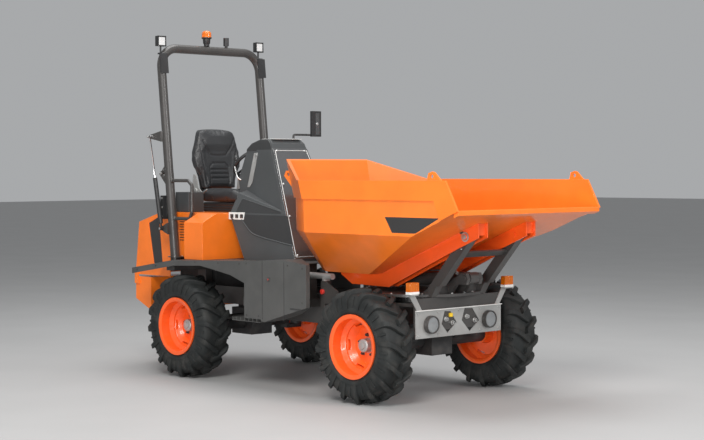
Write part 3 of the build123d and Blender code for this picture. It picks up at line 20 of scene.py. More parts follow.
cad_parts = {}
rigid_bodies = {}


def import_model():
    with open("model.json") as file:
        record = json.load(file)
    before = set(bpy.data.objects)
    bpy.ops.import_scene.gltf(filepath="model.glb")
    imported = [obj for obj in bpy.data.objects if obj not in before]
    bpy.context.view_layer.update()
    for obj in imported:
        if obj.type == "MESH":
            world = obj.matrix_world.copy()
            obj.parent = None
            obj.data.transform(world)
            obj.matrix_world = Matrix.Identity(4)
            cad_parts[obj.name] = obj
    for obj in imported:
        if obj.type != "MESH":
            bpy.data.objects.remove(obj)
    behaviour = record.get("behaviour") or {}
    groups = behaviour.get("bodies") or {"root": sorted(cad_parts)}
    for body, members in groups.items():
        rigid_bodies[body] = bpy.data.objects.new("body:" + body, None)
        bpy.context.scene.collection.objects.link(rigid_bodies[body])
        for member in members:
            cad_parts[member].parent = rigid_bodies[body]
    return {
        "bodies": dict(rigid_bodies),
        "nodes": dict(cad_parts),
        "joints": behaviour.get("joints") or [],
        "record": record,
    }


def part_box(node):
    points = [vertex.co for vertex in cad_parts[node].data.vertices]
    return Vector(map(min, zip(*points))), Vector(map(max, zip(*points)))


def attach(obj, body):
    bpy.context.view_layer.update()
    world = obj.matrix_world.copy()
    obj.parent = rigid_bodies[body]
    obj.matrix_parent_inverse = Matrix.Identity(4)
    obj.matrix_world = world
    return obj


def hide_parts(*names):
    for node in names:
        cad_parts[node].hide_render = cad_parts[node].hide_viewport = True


log = logging.getLogger("site_dumper")

DUST_COLOUR = (0.30, 0.27, 0.24)
DUST_TOP = 1.1  # height at which the dust has thinned out
COAT_ROUGHNESS = 0.12
GLASS_TRANSMISSION, GLASS_IOR = 0.45, 1.5
RUBBER_SPECULAR = 0.35
RELIEF_STRENGTH = 0.6
Point = tuple[float, float, float]
Flat = tuple[float, float]
Colour = tuple[float, float, float]
X_AXIS, Z_AXIS = (1.0, 0.0, 0.0), (0.0, 0.0, 1.0)


# ------------------------------------------------------------------ finishes
class Skin(Enum):
    """The families of surface that a finish can have."""

    PAINT = "paint"
    METAL = "metal"
    PLASTIC = "plastic"
    RUBBER = "rubber"
    VINYL = "vinyl"
    GLASS = "glass"


@dataclass(frozen=True)
class Finish:
    """How one kind of surface looks.

    Args:
        slot: The record's material slot.
        skin: Surface family.
        colour: Linear base colour.
        roughness: Mean roughness.
        metallic: Share of metal.
        coat: Weight of the clear coat.
        grain: Bump distance of the fine texture, in metres.
        grain_size: Size of that texture's cells, in metres.
        mottle: Share by which the colour drifts over the surface.
        dust: Strength of the dust that lies low on the machine.
    """

    slot: str
    skin: Skin
    colour: Colour
    roughness: float
    metallic: float = 0.0
    coat: float = 0.0
    grain: float = 0.0
    grain_size: float = 0.002
    mottle: float = 0.03
    dust: float = 0.0


ORANGE = Finish("orange", Skin.PAINT, (0.90, 0.19, 0.016), 0.34, coat=0.30, grain=0.00005,
                grain_size=0.0035,
                mottle=0.025)
RIM_ORANGE = replace(ORANGE, slot="rim_paint", colour=(0.88, 0.105, 0.012), dust=0.05)
GRAPHITE = Finish("black_paint", Skin.PAINT, (0.048, 0.045, 0.043), 0.40, coat=0.20, grain=0.00005,
                  grain_size=0.003, mottle=0.06)
# Black for printed stripes, strips, door seams and switch keys; in the handle slot, vents and
# grille the same black is painted shade.
DECAL_AND_SLOT_SHADE = Finish("black_paint", Skin.PLASTIC, (0.030, 0.029, 0.029), 0.42, grain=0.00002,
               grain_size=0.003)
# Near-black matte finish: painted shade for the dark space behind the lamp panel's opening.
PAINTED_SHADE_BLACK = Finish("black_paint", Skin.PLASTIC, (0.008, 0.008, 0.008), 0.85, mottle=0.0)
CHARCOAL = Finish("charcoal_paint", Skin.PAINT, (0.066, 0.066, 0.064), 0.46, coat=0.1,
                  grain=0.00010,
                  grain_size=0.0028, mottle=0.05, dust=0.06)
GREY = Finish("grey_paint", Skin.METAL, (0.40, 0.40, 0.39), 0.40, metallic=0.45, grain=0.00005,
              grain_size=0.004, mottle=0.06, dust=0.05)
WHITE = Finish("grey_paint", Skin.PAINT, (0.72, 0.72, 0.70), 0.35, coat=0.2, grain=0.00003,
               mottle=0.02)
DARK_PLASTIC = Finish("dark_plastic", Skin.PLASTIC, (0.054, 0.058, 0.060), 0.46, grain=0.00007,
                      grain_size=0.0013, mottle=0.03)
CAP_PLASTIC = replace(DARK_PLASTIC, colour=(0.030, 0.031, 0.032), roughness=0.38)
BLACK_PLASTIC = Finish("black_plastic", Skin.PLASTIC, (0.022, 0.022, 0.023), 0.42, grain=0.00006,
                       grain_size=0.0012)
SILL = Finish("front_panel", Skin.METAL, (0.20, 0.20, 0.205), 0.16, metallic=0.75, coat=0.5,
              mottle=0.02)
RUBBER = Finish("tyre", Skin.RUBBER, (0.014, 0.016, 0.016), 0.66, grain=0.00010, grain_size=0.0022,
                mottle=0.12, dust=0.08)
SEAT_VINYL = Finish("seat_vinyl", Skin.VINYL, (0.024, 0.025, 0.027), 0.44, grain=0.00020,
                    grain_size=0.0022)
CHROME = Finish("rod_chrome", Skin.METAL, (0.74, 0.74, 0.75), 0.14, metallic=1.0, mottle=0.02)
STEEL = Finish("rod_chrome", Skin.METAL, (0.58, 0.58, 0.57), 0.34, metallic=0.9, grain=0.00004,
               mottle=0.06)
CASTING = Finish("casting", Skin.PAINT, (0.026, 0.026, 0.027), 0.58, grain=0.00030,
                 grain_size=0.005,
                 mottle=0.12, dust=0.12)
AMBER = Finish("amber", Skin.GLASS, (1.0, 0.22, 0.006), 0.16, coat=0.5)
RED_LENS = replace(AMBER, colour=(0.55, 0.012, 0.010))
LENS = Finish("lamp", Skin.GLASS, (0.36, 0.38, 0.39), 0.06, coat=0.7)
GLOW = Finish("lamp", Skin.PLASTIC, (0.62, 0.63, 0.63), 0.20, coat=0.5)
MIRROR_GLASS = Finish("rod_chrome", Skin.METAL, (0.85, 0.86, 0.87), 0.03, metallic=1.0, mottle=0.0)
YELLOW = Finish("amber", Skin.PLASTIC, (0.80, 0.52, 0.02), 0.4, mottle=0.02)
RED_CAP = Finish("amber", Skin.PLASTIC, (0.62, 0.03, 0.02), 0.38, mottle=0.02)


# ------------------------------------------------------------------ node trees
class Socket:
    """A node's output that takes ordinary arithmetic and turns it into Math nodes.

    Args:
        tree: Tree that holds the node.
        node: The node.
        out: Which of its outputs, by place or name.
    """

    def __init__(self, tree: "Tree", node: bpy.types.Node, out: int | str = 0) -> None:
        self.tree = tree
        self.node = node
        self.out = node.outputs[out]

    def __getitem__(self, name: str) -> "Socket":
        """Another output of the same node."""
        return Socket(self.tree, self.node, name)

    def _math(self, operation: str, one: "Value", two: "Value" = 0.0,
              clamp: bool = False) -> "Socket":
        return self.tree.node("ShaderNodeMath", {"operation": operation, "use_clamp": clamp},
                              {0: one, 1: two})

    def __add__(self, other: "Value") -> "Socket":
        return self._math("ADD", self, other)

    def __sub__(self, other: "Value") -> "Socket":
        return self._math("SUBTRACT", self, other)

    def __rsub__(self, other: "Value") -> "Socket":
        return self._math("SUBTRACT", other, self)

    def __mul__(self, other: "Value") -> "Socket":
        return self._math("MULTIPLY", self, other)

    def __truediv__(self, other: "Value") -> "Socket":
        return self._math("DIVIDE", self, other)

    def __rtruediv__(self, other: "Value") -> "Socket":
        return self._math("DIVIDE", other, self)

    def __pow__(self, other: "Value") -> "Socket":
        return self._math("POWER", self, other)

    def __neg__(self) -> "Socket":
        return self._math("MULTIPLY", self, -1.0)

    __radd__ = __add__
    __rmul__ = __mul__

    def clamped(self) -> "Socket":
        """The value held between 0 and 1."""
        return self._math("ADD", self, 0.0, clamp=True)

    def ramp(self, low: float, high: float) -> "Socket":
        """0 below low, 1 above high, and a smooth step between."""
        return self.tree.node("ShaderNodeMapRange", {"interpolation_type": "SMOOTHSTEP"},
                              {"Value": self, "From Min": low, "From Max": high})


Value = Socket | float


class Tree:
    """A node tree whose nodes all come from one method.

    Args:
        tree: The Blender tree that it fills.
    """

    def __init__(self, tree: bpy.types.NodeTree) -> None:
        self.tree = tree

    def node(self, kind: str, settings: dict[str, object] | None = None,
             sockets: dict[int | str, object] | None = None, out: int | str = 0) -> Socket:
        """Add a node.

        Args:
            kind: The node's type.
            settings: Its settings, which are set first.
            sockets: Values or links of its inputs, by place or name.
            out: The output that is wanted.

        Returns:
            That output.
        """
        node = self.tree.nodes.new(kind)
        for name, value in (settings or {}).items():
            setattr(node, name, value)
        for name, value in (sockets or {}).items():
            self.feed(node, name, value)
        return Socket(self, node, self._enabled(node.outputs, out))

    def feed(self, node: bpy.types.Node, name: int | str, value: object) -> None:
        """Link an output, or store a plain value, into a node's input."""
        slot = node.inputs[self._enabled(node.inputs, name)]
        if isinstance(value, Socket):
            self.tree.links.new(value.out, slot)
        elif slot.type == "RGBA" and len(value) == 3:
            slot.default_value = (*value, 1.0)
        else:
            slot.default_value = value

    @staticmethod
    def _enabled(slots: Iterable[bpy.types.NodeSocket], name: int | str) -> int:
        if isinstance(name, int):
            live = [i for i, slot in enumerate(slots) if slot.enabled]
            return live[name]
        return next(i for i, slot in enumerate(slots) if slot.name == name and slot.enabled)


class Shader(Tree):
    """Builds the material of one finish.

    Args:
        finish: The finish.
        name: Name of the material.
    """

    def __init__(self, finish: Finish, name: str) -> None:
        self.finish = finish
        self.material = bpy.data.materials.new(name)
        self.material.use_nodes = True
        super().__init__(self.material.node_tree)
        self.surface = self.material.node_tree.nodes["Principled BSDF"]
        self.place = self.node("ShaderNodeTexCoord")["Object"]

    def noise(self, size: float, detail: float = 3.0, stretch: Point = (1.0, 1.0, 1.0)) -> Socket:
        """Noise over object space.

        Args:
            size: Size of its cells in metres.
            detail: Octaves.
            stretch: Scale along each axis.

        Returns:
            The noise, centred on 0.5.
        """
        place = self.node("ShaderNodeMapping", sockets={"Vector": self.place, "Scale": stretch})
        return self.node("ShaderNodeTexNoise",
                         sockets={"Vector": place, "Scale": 1.0 / size, "Detail": detail})

    def cells(self, size: float) -> Socket:
        """Distance to the nearest cell point of a Voronoi pattern."""
        return self.node("ShaderNodeTexVoronoi",
                         sockets={"Vector": self.place, "Scale": 1.0 / size})

    def height(self) -> Socket:
        """Height above the ground."""
        return self.node("ShaderNodeSeparateXYZ", sockets={0: self.place})["Z"]

    def blend(self, share: Socket, low: Colour | Socket, high: Colour | Socket) -> Socket:
        """Mix two colours by a share."""
        return self.node("ShaderNodeMix", {"data_type": "RGBA"},
                         {"Factor": share.clamped(), "A": low, "B": high})

    def build(self) -> bpy.types.Material:
        """Wire the finish up.

        Returns:
            The finished material.
        """
        f = self.finish
        drift = self.noise(0.16, 4.0)
        darker = tuple(c * (1.0 - 2.0 * f.mottle) for c in f.colour)
        lighter = tuple(min(1.0, c * (1.0 + 2.0 * f.mottle)) for c in f.colour)
        colour = self.blend(drift.ramp(0.3, 0.7), darker, lighter)
        rough = self.noise(0.05) * 0.10 + (f.roughness - 0.05)
        if f.dust:
            low_down = (DUST_TOP - self.height()).ramp(0.0, 1.0)
            film = low_down * self.noise(0.09, 5.0).ramp(0.42, 0.72) * f.dust
            colour = self.blend(film, colour, DUST_COLOUR)
            rough = (rough + film * 0.5).clamped()
        self.feed(self.surface, "Base Color", colour)
        self.feed(self.surface, "Roughness", rough)
        constants = {"Metallic": f.metallic, "Coat Weight": f.coat,
                     "Coat Roughness": COAT_ROUGHNESS}
        if f.skin is Skin.GLASS:
            constants |= {"Transmission Weight": GLASS_TRANSMISSION, "IOR": GLASS_IOR}
        if f.skin is Skin.RUBBER:
            constants |= {"Specular IOR Level": RUBBER_SPECULAR}
        for name, value in constants.items():
            self.feed(self.surface, name, value)
        if f.grain:
            pebbled = f.skin in (Skin.VINYL, Skin.PLASTIC)
            fine = self.cells(f.grain_size) if pebbled else self.noise(f.grain_size, 2.0)
            relief = self.node("ShaderNodeBump",
                               sockets={"Strength": RELIEF_STRENGTH, "Distance": f.grain,
                                        "Height": fine})
            self.feed(self.surface, "Normal", relief)
        return self.material


class Paints:
    """Makes each finish's material once."""

    def __init__(self) -> None:
        self._made: dict[Finish, bpy.types.Material] = {}

    def __getitem__(self, finish: Finish) -> bpy.types.Material:
        if finish not in self._made:
            name = f"{finish.slot}_{finish.skin.value}_{len(self._made)}"
            self._made[finish] = Shader(finish, name).build()
        return self._made[finish]


PAINTS = Paints()


# ------------------------------------------------------------------ repeats by Geometry Nodes
class Pattern(Tree):
    """A Geometry Nodes tree that repeats one small form and ends in a plain mesh.

    Args:
        name: Name of the tree.
        inputs: Its named inputs with their first values.
    """

    def __init__(self, name: str,
                 inputs: dict[str, float | int | Point | bpy.types.Object]) -> None:
        super().__init__(bpy.data.node_groups.new(name, "GeometryNodeTree"))
        self.values = inputs
        self.keys: dict[str, str] = {}
        for label, value in inputs.items():
            self.keys[label] = self.tree.interface.new_socket(
                label, in_out="INPUT", socket_type=self._kind(value)).identifier
        self.tree.interface.new_socket("Geometry", in_out="OUTPUT",
                                       socket_type="NodeSocketGeometry")
        self.inputs = self.node("NodeGroupInput")
        self.result = self.tree.nodes.new("NodeGroupOutput")

    @staticmethod
    def _kind(value: object) -> str:
        if isinstance(value, tuple):
            return "NodeSocketVector"
        if isinstance(value, int):
            return "NodeSocketInt"
        return "NodeSocketFloat" if isinstance(value, float) else "NodeSocketObject"

    def finish(self, instances: Socket, material: bpy.types.Material) -> None:
        """End the tree in real geometry with its material."""
        real = self.node("GeometryNodeRealizeInstances", sockets={"Geometry": instances})
        painted = self.node("GeometryNodeSetMaterial",
                            sockets={"Geometry": real, "Material": material})
        self.feed(self.result, 0, painted)

    def mesh(self, **changes: float | int | Point) -> bpy.types.Mesh:
        """Run the tree once.

        Args:
            changes: Inputs that differ from the first values, by name with underscores.

        Returns:
            The mesh that it makes.
        """
        host = bpy.data.objects.new(self.tree.name, bpy.data.meshes.new(self.tree.name))
        bpy.context.scene.collection.objects.link(host)
        runner = host.modifiers.new("repeat", "NODES")
        runner.node_group = self.tree
        for label, value in self.values.items():
            runner[self.keys[label]] = changes.get(label.replace(" ", "_"), value)
        graph = bpy.context.evaluated_depsgraph_get()
        result = bpy.data.meshes.new_from_object(host.evaluated_get(graph))
        bpy.data.objects.remove(host)
        return result


def item_object(shape: "Shape") -> bpy.types.Object:
    """A shape as a hidden object that a pattern can repeat."""
    data = bpy.data.meshes.new(shape.name)
    bmesh.ops.recalc_face_normals(shape.mesh, faces=shape.mesh.faces)
    shape.mesh.to_mesh(data)
    shape.mesh.free()
    item = bpy.data.objects.new(shape.name, data)
    return item


class RingPattern(Pattern):
    """Copies of one item in a ring about the local Z axis, each turned to face outwards."""

    def __init__(self, name: str, item: bpy.types.Object, finish: Finish) -> None:
        super().__init__(name, {"Item": item, "Count": 8, "Radius": 0.1, "Phase": 0.0,
                                "Middle": (0.0, 0.0, 0.0), "Turn": (0.0, 0.0, 0.0)})
        seat = self.node("GeometryNodeMeshLine", {"mode": "OFFSET"},
                         {"Count": self.inputs["Count"], "Offset": (0.0, 0.0, 0.0)})
        angle = self.node("GeometryNodeInputIndex") * math.tau / self.inputs["Count"]
        angle = angle + self.inputs["Phase"]
        away = self.node("ShaderNodeCombineXYZ", sockets={
            "X": self.node("ShaderNodeMath", {"operation": "COSINE"},
                           {0: angle}) * self.inputs["Radius"],
            "Y": self.node("ShaderNodeMath", {"operation": "SINE"},
                           {0: angle}) * self.inputs["Radius"]})
        spread = self.node("GeometryNodeSetPosition", sockets={"Geometry": seat, "Position": away})
        thing = self.node("GeometryNodeObjectInfo", sockets={"Object": self.inputs["Item"]},
                          out="Geometry")
        facing = self.node("ShaderNodeCombineXYZ", sockets={"Z": angle})
        copies = self.node("GeometryNodeInstanceOnPoints",
                           sockets={"Points": spread, "Instance": thing, "Rotation": facing})
        placed = self.node("GeometryNodeTransform", sockets={
            "Geometry": copies, "Translation": self.inputs["Middle"],
            "Rotation": self.inputs["Turn"]})
        self.finish(placed, PAINTS[finish])


class RowPattern(Pattern):
    """Copies of one item along a straight row."""

    def __init__(self, name: str, item: bpy.types.Object, finish: Finish) -> None:
        super().__init__(name,
                         {"Item": item, "Count": 4, "Start": (0.0, 0.0, 0.0),
                          "Step": (0.1, 0.0, 0.0),
                                "Turn": (0.0, 0.0, 0.0)})
        row = self.node("GeometryNodeMeshLine", {"mode": "OFFSET"}, {
            "Count": self.inputs["Count"], "Start Location": self.inputs["Start"],
            "Offset": self.inputs["Step"]})
        thing = self.node("GeometryNodeObjectInfo", sockets={"Object": self.inputs["Item"]},
                          out="Geometry")
        copies = self.node("GeometryNodeInstanceOnPoints",
                           sockets={"Points": row, "Instance": thing,
                                    "Rotation": self.inputs["Turn"]})
        self.finish(copies, PAINTS[finish])


# ------------------------------------------------------------------ mesh work
class Shape:
    """A mesh under construction, which becomes one piece of the dumper.

    Args:
        name: Name of the piece.
        finish: Its finish.
    """

    def __init__(self, name: str, finish: Finish) -> None:
        self.name = name
        self.finish = finish
        self.mesh = bmesh.new()
        self.from_cad = False

    @classmethod
    def of_node(cls, node: str, finish: Finish, flat: float = 0.5) -> "Shape":
        """A CAD node's own form, its loose triangles merged into whole faces."""
        shape = cls(f"{node}_dressed", finish)
        shape.from_cad = True
        shape.mesh.from_mesh(NODES[node].data)
        bmesh.ops.remove_doubles(shape.mesh, verts=shape.mesh.verts, dist=1e-5)
        bmesh.ops.dissolve_limit(shape.mesh, angle_limit=math.radians(flat), verts=shape.mesh.verts,
                                 edges=shape.mesh.edges)
        return shape

    def absorb(self, data: bpy.types.Mesh) -> "Shape":
        """Take in a pattern's mesh."""
        self.mesh.from_mesh(data)
        bpy.data.meshes.remove(data)
        return self

    def prism(self, outline: Sequence[Point], along: Vector | Point) -> "Shape":
        """Add a closed prism.

        Args:
            outline: Corners of its base, in order.
            along: Vector from the base to the other end.

        Returns:
            This shape, for chaining.
        """
        low = [self.mesh.verts.new(p) for p in outline]
        high = [self.mesh.verts.new(Vector(p) + Vector(along)) for p in outline]
        self.mesh.faces.new(list(reversed(low)))
        self.mesh.faces.new(high)
        for i in range(len(low)):
            j = (i + 1) % len(low)
            self.mesh.faces.new((low[i], low[j], high[j], high[i]))
        return self

    def box(self, low: Point, high: Point) -> "Shape":
        """Add a box between two corners."""
        (x0, y0, z0), (x1, y1, z1) = low, high
        return self.prism([(x0, y0, z0), (x1, y0, z0), (x1, y1, z0), (x0, y1, z0)], (0, 0, z1 - z0))

    def side(self, outline: Sequence[Flat], y_from: float, y_to: float) -> "Shape":
        """Add a prism of an X-Z outline between two Y."""
        return self.prism([(x, y_from, z) for x, z in outline], (0, y_to - y_from, 0))

    def lathe(self, profile: Sequence[Flat], origin: Point, axis: Point,
              steps: int = 32) -> "Shape":
        """Revolve a profile.

        Args:
            profile: (distance along the axis, radius) pairs.
            origin: Point on the axis at distance 0.
            axis: Direction of the axis.
            steps: Facets round the axis.

        Returns:
            This shape, for chaining.
        """
        turn = Vector(axis).to_track_quat("Z", "Y").to_matrix().to_4x4()
        place = Matrix.Translation(origin) @ turn
        rings: list[list[bmesh.types.BMVert]] = []
        for height, radius in profile:
            if radius < 1e-6:
                rings.append([self.mesh.verts.new(place @ Vector((0, 0, height)))])
                continue
            rings.append([self.mesh.verts.new(place @ Vector((radius * math.cos(a),
                                                              radius * math.sin(a), height)))
                          for a in (math.tau * i / steps for i in range(steps))])
        for one, two in zip(rings, rings[1:]):
            for i in range(steps):
                j = (i + 1) % steps
                quad = [one[i % len(one)], one[j % len(one)], two[j % len(two)], two[i % len(two)]]
                corners = list(dict.fromkeys(quad))
                if len(corners) > 2:
                    self.mesh.faces.new(corners)
        return self

    def loft(self, rings: Sequence[Sequence[Point]]) -> "Shape":
        """Join rings of equally many points into a closed form."""
        made = [[self.mesh.verts.new(p) for p in ring] for ring in rings]
        for one, two in zip(made, made[1:]):
            for i in range(len(one)):
                j = (i + 1) % len(one)
                self.mesh.faces.new((one[i], one[j], two[j], two[i]))
        self.mesh.faces.new(list(reversed(made[0])))
        self.mesh.faces.new(made[-1])
        return self

    def disc(self, origin: Point, axis: Point, radius: float, thickness: float, edge: float = 0.0,
             steps: int = 24) -> "Shape":
        """Add a round disc with a rounded outer edge, from a point along an axis."""
        edge = edge or thickness * 0.3
        return self.lathe([(0, 0), (0, radius), (thickness - edge, radius),
                           (thickness - edge * 0.3, radius - edge * 0.3),
                           (thickness, radius - edge), (thickness, 0)], origin, axis, steps)

    def ring(self, origin: Point, axis: Point, outer: float, inner: float, thickness: float,
             steps: int = 32) -> "Shape":
        """Add a flat ring with a rounded face."""
        mid = (outer + inner) / 2
        profile = [(0, inner), (0, outer), (thickness * 0.7, outer), (thickness, mid),
                   (thickness * 0.7, inner),
                   (0, inner)]
        self.lathe(profile, origin, axis, steps)
        return self

    def tube(self, path: Sequence[Point], radius: float, steps: int = 10) -> "Shape":
        """Add a round tube with closed ends along a path."""
        points = [Vector(p) for p in path]
        side = None
        rings = []
        for i, point in enumerate(points):
            ahead = points[min(i + 1, len(points) - 1)] - points[max(i - 1, 0)]
            ahead.normalize()
            if side is None:
                side = ahead.orthogonal().normalized()
            side = (side - ahead * side.dot(ahead)).normalized()
            across = ahead.cross(side)
            rings.append([self.mesh.verts.new(point + (side * math.cos(a) + across * math.sin(a))
                                              * radius)
                          for a in (math.tau * k / steps for k in range(steps))])
        for one, two in zip(rings, rings[1:]):
            for i in range(steps):
                j = (i + 1) % steps
                self.mesh.faces.new((one[i], one[j], two[j], two[i]))
        self.mesh.faces.new(list(reversed(rings[0])))
        self.mesh.faces.new(rings[-1])
        return self

    def bent_tube(self, corners: Sequence[Point], radius: float, bend: float,
                  steps: int = 10) -> "Shape":
        """Add a tube along straight runs with round bends at their corners."""
        path: list[Vector] = [Vector(corners[0])]
        for before, corner, after in zip(corners, corners[1:], corners[2:]):
            here = Vector(corner)
            back, on = (Vector(before) - here), (Vector(after) - here)
            room = min(bend, back.length * 0.45, on.length * 0.45)
            start, end = here + back.normalized() * room, here + on.normalized() * room
            for k in range(7):
                t = k / 6
                path.append(start * (1 - t) ** 2 + here * (2 * t * (1 - t)) + end * t ** 2)
        path.append(Vector(corners[-1]))
        return self.tube([tuple(p) for p in path], radius, steps)

    def piece(self, body: str, bevel: float = 0.0, segments: int = 2,
              smooth: float = 35.0) -> bpy.types.Object:
        """Finish the mesh as an object that rides on a body.

        Args:
            body: CAD body that carries it.
            bevel: Width of the rounding along sharp edges.
            segments: Segments of that rounding.
            smooth: Edges flatter than this many degrees are shaded smooth.

        Returns:
            The object.
        """
        if not self.from_cad:
            bmesh.ops.remove_doubles(self.mesh, verts=self.mesh.verts, dist=1e-7)
            bmesh.ops.recalc_face_normals(self.mesh, faces=self.mesh.faces)
        data = bpy.data.meshes.new(self.name)
        self.mesh.to_mesh(data)
        self.mesh.free()
        piece = bpy.data.objects.new(self.name, data)
        bpy.context.scene.collection.objects.link(piece)
        if bevel:
            rounding = piece.modifiers.new("rounding", "BEVEL")
            rounding.width = bevel
            rounding.segments = segments
            rounding.limit_method = "ANGLE"
            rounding.angle_limit = math.radians(30.0)
            rounding.harden_normals = True
            rounding.use_clamp_overlap = True
        return dress(piece, body, self.finish, smooth)

    def stand_for(self, *nodes: str, bevel: float = 0.0, segments: int = 2,
                  smooth: float = 35.0) -> bpy.types.Object:
        """Finish the mesh as the piece that replaces CAD nodes, on their body."""
        piece = self.piece(BODY_OF[nodes[0]], bevel, segments, smooth)
        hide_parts(*nodes)
        return piece


def dress(piece: bpy.types.Object, body: str, finish: Finish,
          smooth: float = 35.0) -> bpy.types.Object:
    """Give a linked mesh object its finish, shading and body."""
    piece.data.materials.clear()
    piece.data.materials.append(PAINTS[finish])
    for face in piece.data.polygons:
        face.use_smooth = True
    piece.data.set_sharp_from_angle(angle=math.radians(smooth))
    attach(piece, body)
    log.info("%-28s on %-14s %6d faces", piece.name, body, len(piece.data.polygons))
    return piece


NODES: dict[str, bpy.types.Object] = {}
BODY_OF: dict[str, str] = {}


class Hardware:
    """The screws that repeat all over the machine."""

    def __init__(self) -> None:
        head = Shape("bolt_item", STEEL)
        head.lathe([(0, 0), (0, 1.25), (0.16, 1.25), (0.22, 1.18), (0.22, 0.0)], (0, 0, 0), Z_AXIS,
                   16)
        head.lathe([(0.22, 0), (0.22, 1.0), (0.75, 1.0), (0.85, 0.88), (0.85, 0.0)], (0, 0, 0),
                   Z_AXIS, 6)
        self.bolt = item_object(head)
        self.patterns: dict[Finish, RowPattern] = {}

    def row(self, shape: Shape, start: Point, step: Point, count: int, axis: Point,
            size: float) -> Shape:
        """Add a row of bolts to a shape.

        Args:
            shape: Shape that takes them in.
            start: Foot of the first bolt.
            step: Way from one bolt to the next.
            count: How many there are.
            axis: Direction that the heads face.
            size: Radius of a head.

        Returns:
            The shape.
        """
        if shape.finish not in self.patterns:
            self.patterns[shape.finish] = RowPattern("bolt_row", self.bolt, shape.finish)
        turn = Vector(axis).to_track_quat("Z", "Y").to_euler()
        back = Matrix.Scale(size, 4)
        data = self.patterns[shape.finish].mesh(Start=tuple(Vector(start) / size),
                                                Step=tuple(Vector(step) / size),
                                               Count=count, Turn=tuple(turn))
        data.transform(back)
        return shape.absorb(data)


# ------------------------------------------------------------------ wheels
@dataclass
class Wheel:
    """A lugged tyre on its slotted rim.

    Args:
        axle: Which axle it is on.
        hand: Which side it is on.
        hardware: Shared screws; not used.
    """

    axle: str
    hand: str
    hardware: Hardware
    lug_count: int = 16
    nut_count: int = 5
    nut_circle: float = 0.070
    disc_inset: float = 0.028
    hub_radius: float = 0.044
    hub_end: float = 0.022
    lug_items: dict[int, RingPattern] = field(default_factory=dict)

    # outside of the casing, from the crown to the bead: (outboard, radius)
    CASING = ((0.0, 0.3530), (0.060, 0.3515), (0.088, 0.3460), (0.105, 0.3360), (0.115, 0.3210),
              (0.1200, 0.3020),
              (0.1215, 0.2840), (0.1210, 0.2640), (0.1205, 0.2500), (0.1225, 0.2460),
              (0.1205, 0.2340),
              (0.1150, 0.2230), (0.1120, 0.2215), (0.1085, 0.2150), (0.1060, 0.1943))
    # stations along a lug: forward, half width, top (outboard, radius), foot (outboard, radius)
    LUG = ((0.034, 0.019, (-0.012, 0.3785), (-0.012, 0.349)),
           (0.012, 0.018, (0.030, 0.3790), (0.030, 0.349)),
           (-0.013, 0.018, (0.064, 0.3780), (0.064, 0.348)),
           (-0.032, 0.0185, (0.094, 0.3735), (0.090, 0.344)),
           (-0.044, 0.019, (0.114, 0.3620), (0.106, 0.337)),
           (-0.050, 0.019, (0.1255, 0.3440), (0.115, 0.325)),
           (-0.053, 0.018, (0.1297, 0.3160), (0.118, 0.306)),
           (-0.055, 0.015, (0.1298, 0.2880), (0.119, 0.286)),
           (-0.056, 0.011, (0.1275, 0.2620), (0.118, 0.260)),
           (-0.056, 0.007, (0.1225, 0.2480), (0.117, 0.247)))
    # stations along the short rib between two lugs
    RIB = ((-0.050, 0.007, (0.1180, 0.3320), (0.110, 0.325)),
           (-0.052, 0.008, (0.1255, 0.3140), (0.114, 0.306)),
           (-0.053, 0.008, (0.1270, 0.2900), (0.118, 0.288)),
           (-0.054, 0.005, (0.1225, 0.2620), (0.117, 0.261)))

    @property
    def node(self) -> str:
        """Ending of this wheel's node names."""
        return f"{self.axle}_{self.hand}"

    @property
    def sign(self) -> int:
        """1 on the left, -1 on the right."""
        return 1 if self.hand == "left" else -1

    def middle(self) -> Vector:
        """Centre of the wheel."""
        low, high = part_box(f"rim_{self.node}")
        return (low + high) / 2

    def lug(self, side: int) -> Shape:
        """One lug of one half of the tread, at angle 0 about the local Z axis."""
        return self.block("lug", self.LUG, side)

    @staticmethod
    def block(name: str, stations: Sequence[tuple], side: int) -> Shape:
        """Build one block of rubber from its stations.

        Args:
            name: Name of the shape.
            stations: Forward, half width, top and foot of each cross-section.
            side: 1 for the left half of the tread, -1 for the right.

        Returns:
            The closed shape, at angle 0 about the local Z axis.
        """
        shape = Shape(f"{name}_{'right' if side < 0 else 'left'}", RUBBER)
        rings = []
        for forward, half, top, foot in stations:
            (top_out, top_r), (foot_out, foot_r) = top, foot
            land = min(0.004, half / 3)
            section = [(forward - half - 0.003, foot_out, foot_r),
                       (forward - half, top_out, top_r - 0.004),
                       (forward - half + land, top_out, top_r),
                       (forward + half - land, top_out, top_r),
                       (forward + half, top_out, top_r - 0.004),
                       (forward + half + 0.003, foot_out, foot_r)]
            rings.append([(r * math.cos(t / 0.366), side * r * math.sin(t / 0.366), out) for t, out,
                          r in section])
        return shape.loft(rings)

    def tyre(self) -> None:
        """Build the casing and its two rings of lugs."""
        middle = self.middle()
        shape = Shape(f"tyre_{self.node}_lugged", RUBBER)
        outside = [(-out, r) for out, r in reversed(self.CASING)] + [(out, r) for out,
                                                                     r in self.CASING[1:]]
        shape.lathe([*outside, outside[0]], tuple(middle), (0, 1, 0), 96)
        for side in (1, -1):
            if side not in self.lug_items:
                self.lug_items[side] = RingPattern(f"lug_ring_{side}", item_object(self.lug(side)),
                                                   RUBBER)
                ribs = item_object(self.block("rib", self.RIB, side))
                self.lug_items[2 * side] = RingPattern(f"rib_ring_{side}", ribs, RUBBER)
            turn = Matrix(((0, side, 0), (0, 0, side), (1, 0, 0))).to_euler()
            shape.absorb(self.lug_items[side].mesh(
                Count=self.lug_count, Radius=0.0,
                Phase=math.pi / self.lug_count if side > 0 else 0.0,
                Middle=tuple(middle), Turn=tuple(turn)))
            shape.absorb(self.lug_items[2 * side].mesh(
                Count=self.lug_count, Radius=0.0,
                Phase=0.0 if side > 0 else math.pi / self.lug_count,
                Middle=tuple(middle), Turn=tuple(turn)))
        shape.stand_for(f"tyre_{self.node}", smooth=32.0)

